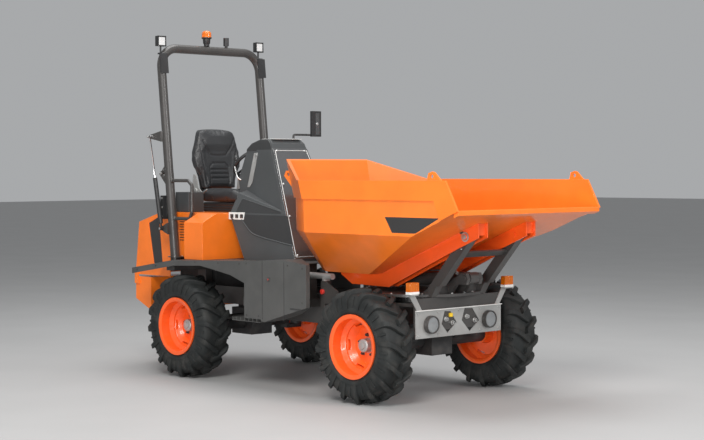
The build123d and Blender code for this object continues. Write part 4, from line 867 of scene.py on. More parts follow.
    def rim(self) -> None:
        """Dress the rim with its nuts, hub cap and valve."""
        Shape.of_node(f"rim_{self.node}", RIM_ORANGE).stand_for(f"rim_{self.node}", bevel=0.0012)
        body = BODY_OF[f"rim_{self.node}"]
        middle = self.middle()
        out = Vector((0, self.sign, 0))
        face = middle - out * self.disc_inset
        nuts = Shape(f"wheel_nuts_{self.node}", GRAPHITE)
        for k in range(self.nut_count):
            angle = math.tau * (k + 0.25) / self.nut_count
            foot = face + Vector((math.cos(angle), 0, math.sin(angle))) * self.nut_circle
            nuts.lathe([(0, 0), (0, 0.0125), (0.003, 0.0125), (0.004, 0.011)], tuple(foot),
                       tuple(out), 16)
            nuts.lathe([(0.004, 0.0105), (0.015, 0.0105), (0.0175, 0.0085), (0.0175, 0)],
                       tuple(foot), tuple(out), 6)
            nuts.lathe([(0.0175, 0.0055), (0.024, 0.0055), (0.025, 0.0045), (0.025, 0)],
                       tuple(foot), tuple(out), 10)
        nuts.piece(body, smooth=30.0)
        cap = Shape(f"hub_cap_{self.node}", GREY)
        r, end = self.hub_radius + 0.0008, self.disc_inset + self.hub_end
        cap.lathe([(0.0005, r + 0.006), (0.004, r + 0.001), (end - 0.006, r),
                   (end - 0.0015, r - 0.004),
                   (end + 0.0005, r - 0.010), (end + 0.0005, 0.024), (end + 0.006, 0.022),
                   (end + 0.008, 0.018),
                   (end + 0.008, 0)], tuple(face), tuple(out), 32)
        cap.piece(body, smooth=30.0)
        valve = Shape(f"valve_{self.node}", BLACK_PLASTIC)
        foot = middle + Vector((0.110, self.sign * -0.030, 0.078))
        valve.lathe([(0, 0.008), (0.006, 0.008), (0.010, 0.005), (0.032, 0.004), (0.034, 0.003),
                     (0.034, 0)],
                    tuple(foot), (-0.25, self.sign * 0.95, -0.15), 12)
        valve.piece(body)

    def build(self) -> None:
        """Build the whole wheel."""
        self.tyre()
        self.rim()


# ------------------------------------------------------------------ skip
@dataclass
class Skip:
    """The tipping skip on its ribs."""

    hardware: Hardware
    half_width: float = 0.690
    fold_z: float = 1.112
    stripe_out: float = 0.0006
    # outline of the blank stripe: (x, z)
    STRIPE = ((1.225, 1.231), (1.705, 1.231), (1.498, 1.131), (1.290, 1.131))

    def panels(self) -> None:
        """Dress the pressed shell and the ribs."""
        Shape.of_node("skip_shell", ORANGE).stand_for("skip_shell", bevel=0.0022, segments=2)
        Shape.of_node("skip_ribs", RIM_ORANGE).stand_for("skip_ribs", bevel=0.0018, segments=2)

    def stripes(self) -> None:
        """Lay the blank black stripe on each side."""
        stripe = Shape("skip_stripes", DECAL_AND_SLOT_SHADE)
        for side in (-1, 1):
            y = side * self.half_width
            stripe.side(self.STRIPE, y - side * 0.001, y + side * self.stripe_out)
        stripe.piece(BODY_OF["skip_shell"])

    def welds(self) -> None:
        """Run weld beads where the ribs meet the shell."""
        low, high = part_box("skip_ribs")
        beads = Shape("skip_welds", RIM_ORANGE)
        slope = 0.4107
        for y in (-0.2825, -0.1975, 0.1975, 0.2825):
            path = [(x, y, 0.830 + max(0.0, x - 0.780) * slope - 0.002)
                    for x in (low.x + 0.01 + k * 0.02
                              for k in range(int((high.x - low.x - 0.03) / 0.02)))]
            beads.tube(path, 0.0045, 6)
        beads.piece(BODY_OF["skip_ribs"])

    def hinge_pins(self) -> None:
        """Cap the hinge pins with collars and keeper plates."""
        pins = Shape("hinge_pin_caps", STEEL)
        for side in (-1, 1):
            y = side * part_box("skip_ribs")[1].y
            pins.disc((1.545, y - side * 0.001, 1.100), (0, side, 0), 0.0165, 0.004)
            pins.ring((1.545, side * 0.2825, 1.100), (0, side, 0), 0.032, 0.0205, 0.006)
        pins.piece(BODY_OF["skip_ribs"])
        keepers = Shape("hinge_keepers", GRAPHITE)
        for side in (-1, 1):
            y = side * 0.2822
            keepers.side([(1.500, 1.128), (1.530, 1.136), (1.536, 1.124), (1.506, 1.116)], y,
                         y + side * 0.005)
        keepers.piece(BODY_OF["skip_ribs"], bevel=0.001)

    def build(self) -> None:
        """Build the whole skip."""
        self.panels()
        self.stripes()
        self.welds()
        self.hinge_pins()


# ------------------------------------------------------------------ swivel and tipping frame
@dataclass
class TipFrame:
    """The slewing table with its arms, the cylinder and its pipes."""

    hardware: Hardware
    table_bolts: int = 24
    table_bolt_circle: float = 0.405
    slew: Flat = (0.850, 0.0)

    def frame(self) -> None:
        """Dress the table and the arms."""
        Shape.of_node("swing_frame", GRAPHITE).stand_for("swing_frame", bevel=0.0018)
        low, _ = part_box("swing_frame")
        bolts = Shape("table_bolts", STEEL)
        ring = RingPattern("bolt_ring", self.hardware.bolt, STEEL)
        size = 0.0075
        data = ring.mesh(Count=self.table_bolts, Radius=self.table_bolt_circle / size, Phase=0.05,
                         Middle=(self.slew[0] / size, 0.0, (low.z + 0.018) / size))
        data.transform(Matrix.Scale(size, 4))
        bolts.absorb(data)
        bolts.piece(BODY_OF["swing_frame"], smooth=30.0)

    def ring(self) -> None:
        """Dress the ring with its toothed edge."""
        low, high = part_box("slew_ring")
        tooth = Shape("tooth", STEEL)
        tooth.loft([[(-0.004, -0.010, 0.0), (0.007, -0.005, 0.0), (0.007, 0.005, 0.0),
                     (-0.004, 0.010, 0.0)],
                    [(-0.004, -0.010, 0.026), (0.007, -0.005, 0.026), (0.007, 0.005, 0.026),
                     (-0.004, 0.010, 0.026)]])
        teeth = RingPattern("tooth_ring", item_object(tooth), CASTING)
        shape = Shape("slew_teeth", CASTING)
        shape.absorb(teeth.mesh(Count=84, Radius=(high.x - low.x) / 2 - 0.002,
                                Middle=(self.slew[0], 0.0, low.z + 0.004)))
        shape.piece(BODY_OF["slew_ring"], smooth=20.0)

    def cylinder(self) -> None:
        """Dress the tipping cylinder with its ports and pipe."""
        for node, finish in (("tip_cylinder_barrel", GRAPHITE), ("tip_cylinder_rod", CHROME)):
            Shape.of_node(node, finish).stand_for(node, bevel=0.0012)
        base, eye = Vector((1.340, 0, 0.812)), Vector((0.540, 0, 0.765))
        along = (eye - base).normalized()
        body = BODY_OF["tip_cylinder_barrel"]
        ports = Shape("cylinder_ports", STEEL)
        for reach in (0.10, 0.56):
            foot = base + along * reach + Vector((0, -0.030, 0.030))
            ports.lathe([(0, 0.013), (0.010, 0.013), (0.010, 0.010), (0.026, 0.010), (0.026, 0.0)],
                        tuple(foot), (0, -0.7, 0.7), 6)
        ports.piece(body, smooth=25.0)
        pipe = Shape("cylinder_pipe", GRAPHITE)
        start = base + along * 0.56 + Vector((0, -0.045, 0.045))
        end = base + along * 0.12 + Vector((0, -0.045, 0.045))
        pipe.bent_tube([tuple(start), tuple(start + Vector((0.02, -0.004, 0.012))),
                        tuple(end + Vector((-0.02, -0.004, 0.012))), tuple(end)], 0.006, 0.015, 8)
        pipe.piece(body)

    def pins(self) -> None:
        """Put grease nipples on the arm pins."""
        body = BODY_OF["swing_frame"]
        nipples = Shape("grease_nipples", STEEL)
        for side in (-1, 1):
            for x, z in ((1.500, 1.020), (0.640, 0.735)):
                foot = (x, side * 0.265, z)
                nipples.lathe([(0, 0.005), (0.006, 0.005), (0.007, 0.003), (0.012, 0.0035),
                               (0.014, 0.002), (0.014, 0)],
                              foot, (0, side, 0), 8)
        nipples.piece(body)

    def build(self) -> None:
        """Build the whole frame."""
        self.frame()
        self.ring()
        self.cylinder()
        self.pins()


# ------------------------------------------------------------------ front of the chassis
@dataclass
class Front:
    """The lamp panel across the nose."""

    hardware: Hardware
    panel_t: float = 0.006
    lamp_y: float = 0.283
    lamp_z: float = 0.514

    def panel(self) -> None:
        """Dress the panel, its folded edges and its bolts."""
        Shape.of_node("headlight_panel", GREY).stand_for("headlight_panel", bevel=0.0010)
        low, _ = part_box("headlight_panel")
        face = low.x + self.panel_t
        body = BODY_OF["headlight_panel"]
        edge = Shape("panel_edge", WHITE)
        edge.box((low.x, -0.418, 0.606), (face + 0.012, 0.418, 0.612))
        edge.piece(body, bevel=0.0015)
        bolts = Shape("panel_bolts", STEEL)
        for y in (-0.395, -0.205, -0.005, 0.205, 0.395):
            for z in (0.445, 0.590):
                if abs(y) > 0.1 or z > 0.5:
                    self.hardware.row(bolts, (face, y, z), (0.0, 0.0, 0.01), 1, X_AXIS, 0.0065)
        bolts.piece(body, smooth=30.0)
        inside = Shape("panel_couplings", STEEL)
        # A near-black sheet behind the panel's opening: painted shade for the shadowed inside of
        # the chassis.
        opening_shade = Shape("panel_backing", PAINTED_SHADE_BLACK)
        opening_shade.box((low.x - 0.0030, -0.190, 0.436), (low.x - 0.0006, 0.215, 0.606))
        opening_shade.piece(BODY_OF["chassis_frame"])
        for y, z in ((-0.132, 0.540), (-0.068, 0.512), (0.072, 0.545), (0.150, 0.515)):
            inside.lathe([(0, 0.016), (0.010, 0.016), (0.011, 0.012), (0.024, 0.012),
                          (0.025, 0.007), (0.016, 0.006),
                          (0.016, 0)], (low.x - 0.0008, y, z), X_AXIS, 20)
        inside.piece(BODY_OF["chassis_frame"], smooth=30.0)
        plug = Shape("yellow_couplings", YELLOW)
        plug.box((low.x - 0.0008, -0.098, 0.552), (low.x + 0.014, -0.070, 0.578))
        plug.piece(BODY_OF["chassis_frame"], bevel=0.003)

    def headlamps(self) -> None:
        """Build the round lamps: dark ring, bright bowl and lens."""
        low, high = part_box("headlights")
        depth = high.x - low.x
        radius = (high.z - low.z) / 2
        body = BODY_OF["headlights"]
        rings = Shape("lamp_rings", GRAPHITE)
        bowls = Shape("lamp_bowls", STEEL)
        lenses = Shape("lamp_lenses", LENS)
        for side in (-1, 1):
            foot = (low.x, side * self.lamp_y, self.lamp_z)
            rings.lathe([(0, radius), (depth - 0.008, radius), (depth - 0.001, radius - 0.002),
                         (depth, radius - 0.006),
                         (depth - 0.002, radius - 0.0085), (depth - 0.006, radius - 0.009),
                         (0.0, radius - 0.009),
                         (0, radius)], foot, X_AXIS, 48)
            bowls.lathe([(0.002, 0.0), (0.003, 0.010), (0.010, 0.012), (0.012, 0.009),
                         (0.016, 0.0)], foot, X_AXIS, 24)
            bowls.lathe([(0.001, 0.0), (0.001, 0.022), (0.010, 0.036), (0.024, radius - 0.0095),
                         (0.021, radius - 0.0095),
                         (0.007, 0.037), (-0.0002, 0.023), (-0.0002, 0.0)], foot, X_AXIS, 48)
            lenses.lathe([(0.0252, 0.0), (0.0252, radius - 0.0095), (0.0275, radius - 0.0095),
                          (0.0305, 0.034),
                          (0.0320, 0.018), (0.0325, 0.0)], foot, X_AXIS, 48)
        rings.stand_for("headlights", smooth=30.0)
        bowls.piece(body, smooth=30.0)
        lenses.piece(body, smooth=30.0)

    def markers(self) -> None:
        """Build the marker lamps: white foot and a ribbed amber lens."""
        low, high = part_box("marker_lamps")
        body = BODY_OF["marker_lamps"]
        lens, foot = Shape("marker_lenses", AMBER), Shape("marker_feet", WHITE)
        half = 0.042
        middle = high.y - half - 0.003
        x0, x1 = low.x + 0.002, high.x - 0.002
        for side in (-1, 1):
            y = side * middle
            foot.box((x0 - 0.001, y - half - 0.002, low.z),
                     (x1 + 0.001, y + half + 0.002, low.z + 0.018))
            for k in range(7):
                a = y - half + k * 2 * half / 7
                lens.box((x0 + (0.0 if k % 2 else 0.0012), a, low.z + 0.018),
                         (x1 - (0.0 if k % 2 else 0.0012),
                         a + 2 * half / 7, high.z - (0.0 if k % 2 else 0.0012)))
        lens.stand_for("marker_lamps", bevel=0.0012)
        foot.piece(body, bevel=0.003)

    def build(self) -> None:
        """Build the nose."""
        self.panel()
        self.headlamps()
        self.markers()


# ------------------------------------------------------------------ bodywork
@dataclass
class Bodywork:
    """Platform, side boxes, steps, seat box, hood and counterweight."""

    hardware: Hardware
    fender_y: float = 0.740

    def platform(self) -> None:
        """Dress the platform and its skirts."""
        Shape.of_node("platform", CHARCOAL).stand_for("platform", bevel=0.0020)
        Shape.of_node("side_boxes", CHARCOAL).stand_for("side_boxes", bevel=0.0022)
        edge = Shape("skirt_bolts", GRAPHITE)
        for side in (-1, 1):
            for x, z in ((-0.700, 0.866), (-0.430, 0.872), (-0.190, 0.876), (-1.180, 0.822),
                         (-1.420, 0.782)):
                self.hardware.row(edge, (x, side * self.fender_y, z), (0.1, 0, 0), 1, (0, side, 0),
                                  0.0055)
        edge.piece(BODY_OF["platform"], smooth=30.0)

    def tread(self) -> None:
        """Stud the platform's upper face against slipping."""
        stud = Shape("stud", CHARCOAL)
        stud.lathe([(0, 0.006), (0.0012, 0.0045), (0.0016, 0.0)], (0, 0, 0), Z_AXIS, 10)
        rows = RowPattern("stud_row", item_object(stud), CHARCOAL)
        studs = Shape("platform_studs", CHARCOAL)
        for k in range(9):
            for side in (-1, 1):
                y = side * (0.380 + k * 0.042)
                studs.absorb(rows.mesh(Start=(-0.10 - 0.02 * (k % 2), y, 0.8700),
                                       Step=(-0.045, 0.0, 0.0), Count=14))
        studs.piece(BODY_OF["platform"])

    def side_boxes(self) -> None:
        """Add the doors' seams, latches and hinges to the side boxes, with painted shade in the
        handle slot.
        """
        body = BODY_OF["side_boxes"]
        seams, latches = Shape("box_seams", DECAL_AND_SLOT_SHADE), Shape("box_latches", GRAPHITE)
        dot = Shape("box_latch_dots", RED_CAP)
        for side in (-1, 1):
            y = side * self.fender_y
            for x in (0.060, 0.290):
                seams.box((x, min(y, y + side * 0.0008), 0.500),
                          (x + 0.004, max(y, y + side * 0.0008), 0.905))
            # This horizontal dark strip is painted shade in the handle slot near the bottom of the
            # box's front part.
            seams.box((0.355, min(y - side * 0.004, y + side * 0.0004), 0.585),
                      (0.463, max(y - side * 0.004, y + side * 0.0004), 0.596))
            latches.disc((0.130, y, 0.780), (0, side, 0), 0.017, 0.003)
            latches.disc((0.130, y + side * 0.003, 0.780), (0, side, 0), 0.008, 0.002)
            dot.disc((0.130, y + side * 0.005, 0.780), (0, side, 0), 0.005, 0.001)
            for x, z in ((0.480, 0.870), (0.480, 0.640), (0.330, 0.885), (-0.110, 0.880),
                         (-0.110, 0.520),
                         (0.020, 0.520)):
                self.hardware.row(latches, (x, y, z), (0.1, 0, 0), 1, (0, side, 0), 0.005)
        seams.piece(body)
        latches.piece(body, smooth=30.0)
        dot.piece(body)

    def posts(self) -> None:
        """Dress the accumulator and put the red filler cap behind the front wheel."""
        Shape.of_node("accumulator", GREY).stand_for("accumulator", bevel=0.0015)
        caps = Shape("filler_caps", RED_CAP)
        caps.lathe([(0, 0.018), (0.012, 0.018), (0.015, 0.014), (0.015, 0)],
                   (0.345, -0.4302, 0.690), (0, -1, 0), 20)
        caps.piece(BODY_OF["chassis_frame"], smooth=30.0)

    def seat_box(self) -> None:
        """Dress the seat box and its vents."""
        Shape.of_node("seat_box", ORANGE).stand_for("seat_box", bevel=0.006, segments=3)
        low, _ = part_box("seat_box")
        body = BODY_OF["seat_box"]
        slat = Shape("slat", GRAPHITE)
        slat.box((-0.040, -0.0015, -0.0035), (0.040, 0.0015, 0.0035))
        slats = RowPattern("slat_row", item_object(slat), DECAL_AND_SLOT_SHADE)
        # The vents' dark slats are painted shade standing for the openings.
        vents = Shape("seat_box_vents", DECAL_AND_SLOT_SHADE)
        for side in (-1, 1):
            vents.absorb(slats.mesh(Start=(low.x + 0.16, side * (0.438 + 0.0008), 1.00),
                                    Step=(0.0, 0.0, 0.020), Count=8))
        vents.piece(body)

    def hood(self) -> None:
        """Dress the hood with its blank strips, grille and latch."""
        Shape.of_node("rear_hood", ORANGE).stand_for("rear_hood", bevel=0.007, segments=3)
        low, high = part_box("rear_hood")
        body = BODY_OF["rear_hood"]
        strips = Shape("hood_strips", DECAL_AND_SLOT_SHADE)
        for side in (-1, 1):
            y = side * (high.y - 0.002)
            strips.side([(-1.552, 1.172), (-1.682, 1.120), (-1.616, 0.806), (-1.506, 0.806)],
                        y - side * 0.0005,
                        y + side * 0.0006)
        strips.piece(body)
        # The grille's slots are dark strips of painted shade standing for the openings.
        slot = Shape("grille_slot", DECAL_AND_SLOT_SHADE)
        slot.box((-0.0006, -0.150, -0.005), (0.0006, 0.150, 0.005))
        rows = RowPattern("grille_row", item_object(slot), DECAL_AND_SLOT_SHADE)
        lean = 0.054 / 0.416
        grille = Shape("hood_grille", DECAL_AND_SLOT_SHADE)
        for k in range(9):
            z = 0.80 + 0.03 * k
            grille.absorb(rows.mesh(Start=(low.x + (z - low.z) * lean - 0.0002, 0.0, z),
                                    Step=(0.0, 0.0, 0.1), Count=1,
                                    Turn=(0.0, math.atan(lean), 0.0)))
        grille.piece(body)
        latch = Shape("hood_latch", BLACK_PLASTIC)
        latch.side([(-1.5600, 1.1975), (-1.4700, 1.1975), (-1.4760, 1.2030), (-1.5540, 1.2030)],
                   -0.035, 0.035)
        latch.piece(body, bevel=0.002)
        Shape.of_node("counterweight", ORANGE).stand_for("counterweight", bevel=0.004, segments=3)

    def build(self) -> None:
        """Build all the bodywork."""
        self.platform()
        self.tread()
        self.side_boxes()
        self.posts()
        self.seat_box()
        self.hood()


# ------------------------------------------------------------------ console
@dataclass
class Console:
    """The steering console with its plate, panels and controls."""

    hardware: Hardware
    plate_t: float = 0.006
    shoulder_z: float = 1.215

    def __post_init__(self) -> None:
        low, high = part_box("front_plate")
        self.z_low, self.z_high = low.z, high.z
        self.x_high, self.x_low = low.x, high.x - self.plate_t
        self.y_low = high.y
        self.y_high = 0.168

    def front(self, z: float) -> float:
        """Front face of the console's body at a height."""
        return self.x_low + (self.x_high - self.x_low) * (z
                                                          - self.z_low) / (self.z_high - self.z_low)

    def flank(self, z: float) -> float:
        """Half width of the console's body at a height."""
        return self.y_low + (self.y_high - self.y_low) * (z
                                                          - self.z_low) / (self.z_high - self.z_low)

    def shells(self) -> None:
        """Dress the moulded shells and cap them."""
        Shape.of_node("console_cowl", DARK_PLASTIC).stand_for("console_cowl", bevel=0.005,
                                                              segments=3)
        Shape.of_node("console_base", DARK_PLASTIC).stand_for("console_base", bevel=0.006,
                                                              segments=3)
        body = BODY_OF["console_cowl"]
        cap = Shape("console_cap", CAP_PLASTIC)
        out = 0.003
        rings = []
        for z, rear, front, half in ((1.676, -0.798, self.front(1.676) - 0.012,
                                      self.flank(1.676) + out),
                                     (1.692, -0.794, self.front(1.692) - 0.010,
                                      self.flank(1.692) + out),
                                     (1.732, -0.744, self.front(1.732) - 0.010,
                                      self.flank(1.732) + out),
                                     (1.758, -0.668, -0.560, 0.156),
                                     (1.7635, -0.650, -0.575, 0.147)):
            rings.append([(rear, -half, z), (front, -half, z), (front, half, z), (rear, half, z)])
        cap.loft(rings)
        cap.piece(body, bevel=0.006, segments=3)
        top = Shape("console_top_plate", WHITE)
        top.box((-0.655, -0.140, 1.7625), (-0.520, 0.140, 1.7655))
        top.piece(body, bevel=0.0012)

    def pods(self) -> None:
        """Build the sloping shoulders between the wide foot and the cowl."""
        shoulders = Shape("console_shoulders", DARK_PLASTIC)
        inset, edge = Shape("shoulder_panels", CAP_PLASTIC), Shape("shoulder_edges", DARK_PLASTIC)
        for side in (-1, 1):
            z = self.shoulder_z - 0.002
            ring = [(-0.778, 0.3495, z), (-0.285, 0.2310, z), (-0.300, 0.190, z),
                    (-0.770, 0.190, z)]
            ridge = [(-0.752, 0.2850, 1.366), (-0.300, self.flank(1.230) + 0.002, 1.228),
                     (-0.320, 0.180, 1.240),
                     (-0.745, 0.180, 1.390)]
            shoulders.loft([[(x, side * y, h) for x, y, h in ring],
                            [(x, side * y, h) for x, y, h in ridge]])
            low, high = [Vector(p) for p in ring[:2]], [Vector(p) for p in ridge[:2]]
            corners = []
            for along, up in ((0.10, 0.02), (0.93, 0.02), (0.93, 0.60), (0.12, 0.80)):
                corners.append(low[0].lerp(low[1], along).lerp(high[0].lerp(high[1], along), up))
            inset.loft([[(p.x, side * (p.y - 0.004), p.z) for p in corners],
                        [(p.x, side * (p.y + 0.0014), p.z)
                                                                             for p in corners]])
            edge.bent_tube([(p.x, side * (p.y + 0.0005), p.z) for p in (corners[0], corners[3],
                                                                        corners[2])],
                           0.0040, 0.02, 8)
        shoulders.piece(BODY_OF["console_cowl"], bevel=0.005, segments=3)
        inset.piece(BODY_OF["console_cowl"], bevel=0.0008)
        edge.piece(BODY_OF["console_cowl"])

    def panels(self) -> None:
        """Inset the dark lower panels, with the bright rolled edge under each."""
        body = BODY_OF["console_base"]
        panel, roll = Shape("console_panels", CAP_PLASTIC), Shape("console_rolls", DARK_PLASTIC)
        for side in (-1, 1):
            foot = [(-0.640, 0.3270, 1.1400), (-0.560, 0.3140, 1.0700), (-0.440, 0.2990, 1.0400),
                    (-0.170, 0.2530, 0.9900),
                    (-0.262, 0.2335, 1.2000), (-0.700, 0.3370, 1.2050)]
            outer = [(x, side * (self._wall(x, z) + 0.0015), z) for x, _, z in foot]
            inner = [(x, side * (self._wall(x, z) - 0.006), z) for x, _, z in foot]
            panel.loft([inner, outer])
            roll.bent_tube([(x, side * (self._wall(x, z) + 0.001), z)
                            for x,
                            z in ((-0.664, 1.165), (-0.560, 1.064), (-0.440, 1.033),
                                  (-0.163, 0.984))],
                           0.0055, 0.05, 8)
        panel.piece(body, bevel=0.001)
        roll.piece(body)

    def _wall(self, x: float, z: float) -> float:
        """Half width of the wide foot at a place on its flank."""
        share = (z - 0.870) / (self.shoulder_z - 0.870)
        rear_x, rear_y = -0.612 - 0.170 * share, 0.350 + 0.002 * share
        front_x, front_y = self.front(z), self.flank(z)
        return rear_y + (front_y - rear_y) * (x - rear_x) / (front_x - rear_x)

    def plate(self) -> None:
        """Frame the glossy front plate and screw it down."""
        Shape.of_node("front_plate", SILL).stand_for("front_plate", bevel=0.0015)
        body = BODY_OF["front_plate"]
        frame, screws = Shape("plate_frame", WHITE), Shape("plate_screws", STEEL)
        lift = self.plate_t + 0.001
        inset = 0.016
        path = []
        for z, side in ((self.z_high - inset, -1), (self.z_high - inset, 1),
                        (self.z_low + inset, 1),
                        (self.z_low + inset, -1), (self.z_high - inset, -1)):
            path.append((self.front(z) + lift, side * (self.flank(z) - inset), z))
        for one, two in zip(path, path[1:]):
            frame.tube([one, two], 0.0022, 6)
        for z in (1.675, 1.430, 1.195, 0.915):
            for side in (-1, 1):
                foot = (self.front(z) + lift - 0.001, side * (self.flank(z) - 0.034), z)
                screws.lathe([(0, 0.0085), (0.003, 0.0085), (0.0055, 0.006), (0.006, 0.0)], foot,
                             (0.91, 0, 0.41), 16)
        frame.piece(body)
        screws.piece(body, smooth=40.0)

    def recess(self) -> None:
        """Set the strip and its knobs into each flank behind the steering wheel."""
        body = BODY_OF["console_cowl"]
        strip, knob = Shape("cowl_strips", GREY), Shape("cowl_knobs", STEEL)
        for side in (-1, 1):
            corners = [(-0.742, 1.405), (-0.700, 1.660), (-0.655, 1.664), (-0.690, 1.440),
                       (-0.716, 1.405)]
            inner = [(x, side * (self.flank(z) + 0.0005), z) for x, z in corners]
            outer = [(x, side * (self.flank(z) + 0.0050), z) for x, z in corners]
            strip.loft([inner, outer])
            knob.disc((-0.672, side * (self.flank(1.640) + 0.004), 1.640), (0, side, 0), 0.011,
                      0.008)
            knob.disc((-0.690, side * (self.flank(1.600) + 0.004), 1.600), (0, side, 0), 0.004,
                      0.003)
        strip.piece(body, bevel=0.002)
        knob.piece(body, smooth=40.0)

    def controls(self) -> None:
        """Add the switch plates, levers and their boots beside the seat."""
        body = BODY_OF["console_base"]
        plate, keys = Shape("switch_plate", WHITE), Shape("switch_keys", DECAL_AND_SLOT_SHADE)
        levers, knobs = Shape("control_levers", STEEL), Shape("control_knobs", BLACK_PLASTIC)
        z = self.shoulder_z
        plate.loft([[(-0.782, -0.345, z - 0.050), (-0.640, -0.325, z - 0.050),
                     (-0.640, -0.315, z + 0.004),
                     (-0.782, -0.335, z + 0.004)],
                    [(-0.784, -0.3555, z - 0.050), (-0.640, -0.3285, z - 0.050),
                     (-0.642, -0.3285, z + 0.004),
                     (-0.786, -0.3550, z + 0.004)]])
        for k in range(3):
            x = -0.765 + k * 0.046
            y = -0.3535 + k * 0.0090
            keys.box((x, y - 0.003, z - 0.038), (x + 0.026, y + 0.010, z - 0.010))
        for k, (x, y,
                height) in enumerate(((-0.752, -0.290, 0.085), (-0.712, -0.262, 0.070),
                                      (-0.772, -0.250, 0.100))):
            levers.tube([(x, y, z - 0.004), (x - 0.004, y, z + height)], 0.0055, 10)
            knobs.lathe([(0, 0.008), (0.008, 0.015), (0.024, 0.0175), (0.038, 0.013), (0.044, 0.0)],
                        (x - 0.004, y, z + height - 0.004), Z_AXIS, 18)
            knobs.lathe([(0, 0.022), (0.006, 0.020), (0.012, 0.013), (0.018, 0.011),
                         (0.024, 0.007)],
                        (x, y, z - 0.003), Z_AXIS, 18)
        plate.piece(body, bevel=0.002)
        keys.piece(body, bevel=0.0015)
        levers.piece(body)
        knobs.piece(body, smooth=40.0)
        stalk = Shape("drive_lever", STEEL)
        stalk.bent_tube([(-0.800, -0.150, 1.440), (-0.850, -0.215, 1.470), (-0.872, -0.225, 1.560)],
                        0.0055, 0.03, 10)
        stalk.piece(BODY_OF["console_cowl"])

    def steering(self) -> None:
        """Dress the wheel, its spokes and the column's boot."""
        Shape.of_node("steering_wheel", BLACK_PLASTIC).stand_for("steering_wheel", bevel=0.0015)
        Shape.of_node("steering_column", GRAPHITE).stand_for("steering_column", bevel=0.002)
        lean = math.radians(42.0)
        axis = Vector((-math.sin(lean), 0, math.cos(lean)))
        hub = Vector((-0.935, 0, 1.590))
        cap = Shape("wheel_hub_cap", CAP_PLASTIC)
        cap.lathe([(0.002, 0.034), (0.010, 0.033), (0.016, 0.026), (0.018, 0.0)], tuple(hub),
                  tuple(axis), 28)
        cap.piece(BODY_OF["steering_wheel"], smooth=40.0)
        knob = Shape("spinner_knob", CAP_PLASTIC)
        out = Vector((0, -1, 0))
        knob.lathe([(0.010, 0.008), (0.020, 0.008), (0.028, 0.016), (0.048, 0.018), (0.060, 0.013),
                    (0.064, 0.0)],
                   tuple(hub + out * 0.135 + axis * 0.002), tuple(axis), 20)
        knob.piece(BODY_OF["steering_wheel"], smooth=40.0)
        boot = Shape("column_boot", BLACK_PLASTIC)
        profile = [(0.0, 0.034)]
        for k in range(5):
            profile += [(0.008 + 0.014 * k, 0.036 - 0.002 * k),
                        (0.015 + 0.014 * k, 0.029 - 0.001 * k)]
        profile.append((0.082, 0.0225))
        boot.lathe(profile, tuple(hub - axis * 0.235), tuple(axis), 28)
        boot.piece(BODY_OF["steering_column"], smooth=50.0)

    def mirror(self) -> None:
        """Build the mirror: rounded case, glass and clamps."""
        low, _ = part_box("mirror")
        body = BODY_OF["mirror"]
        case = Shape.of_node("mirror", BLACK_PLASTIC)
        case.stand_for("mirror", bevel=0.008, segments=4)
        glass = Shape("mirror_glass", MIRROR_GLASS)
        glass.box((-0.5486, 0.260, 1.796), (-0.5476, 0.334, 1.970))
        glass.piece(body)
        band = Shape("mirror_band", DARK_PLASTIC)
        band.box((-0.5225, 0.284, 1.800), (-0.5185, 0.322, 1.965))
        band.piece(body, bevel=0.0015)
        clamp = Shape("mirror_clamp", STEEL)
        clamp.disc((-0.5188, 0.297, 1.883), X_AXIS, 0.011, 0.005)
        clamp.disc((-0.590, 0.120, low.z), Z_AXIS, 0.022, 0.006)
        clamp.piece(body, smooth=40.0)

    def build(self) -> None:
        """Build the whole console."""
        self.shells()
        self.pods()
        self.panels()
        self.plate()
        self.recess()
        self.controls()
        self.steering()
        self.mirror()


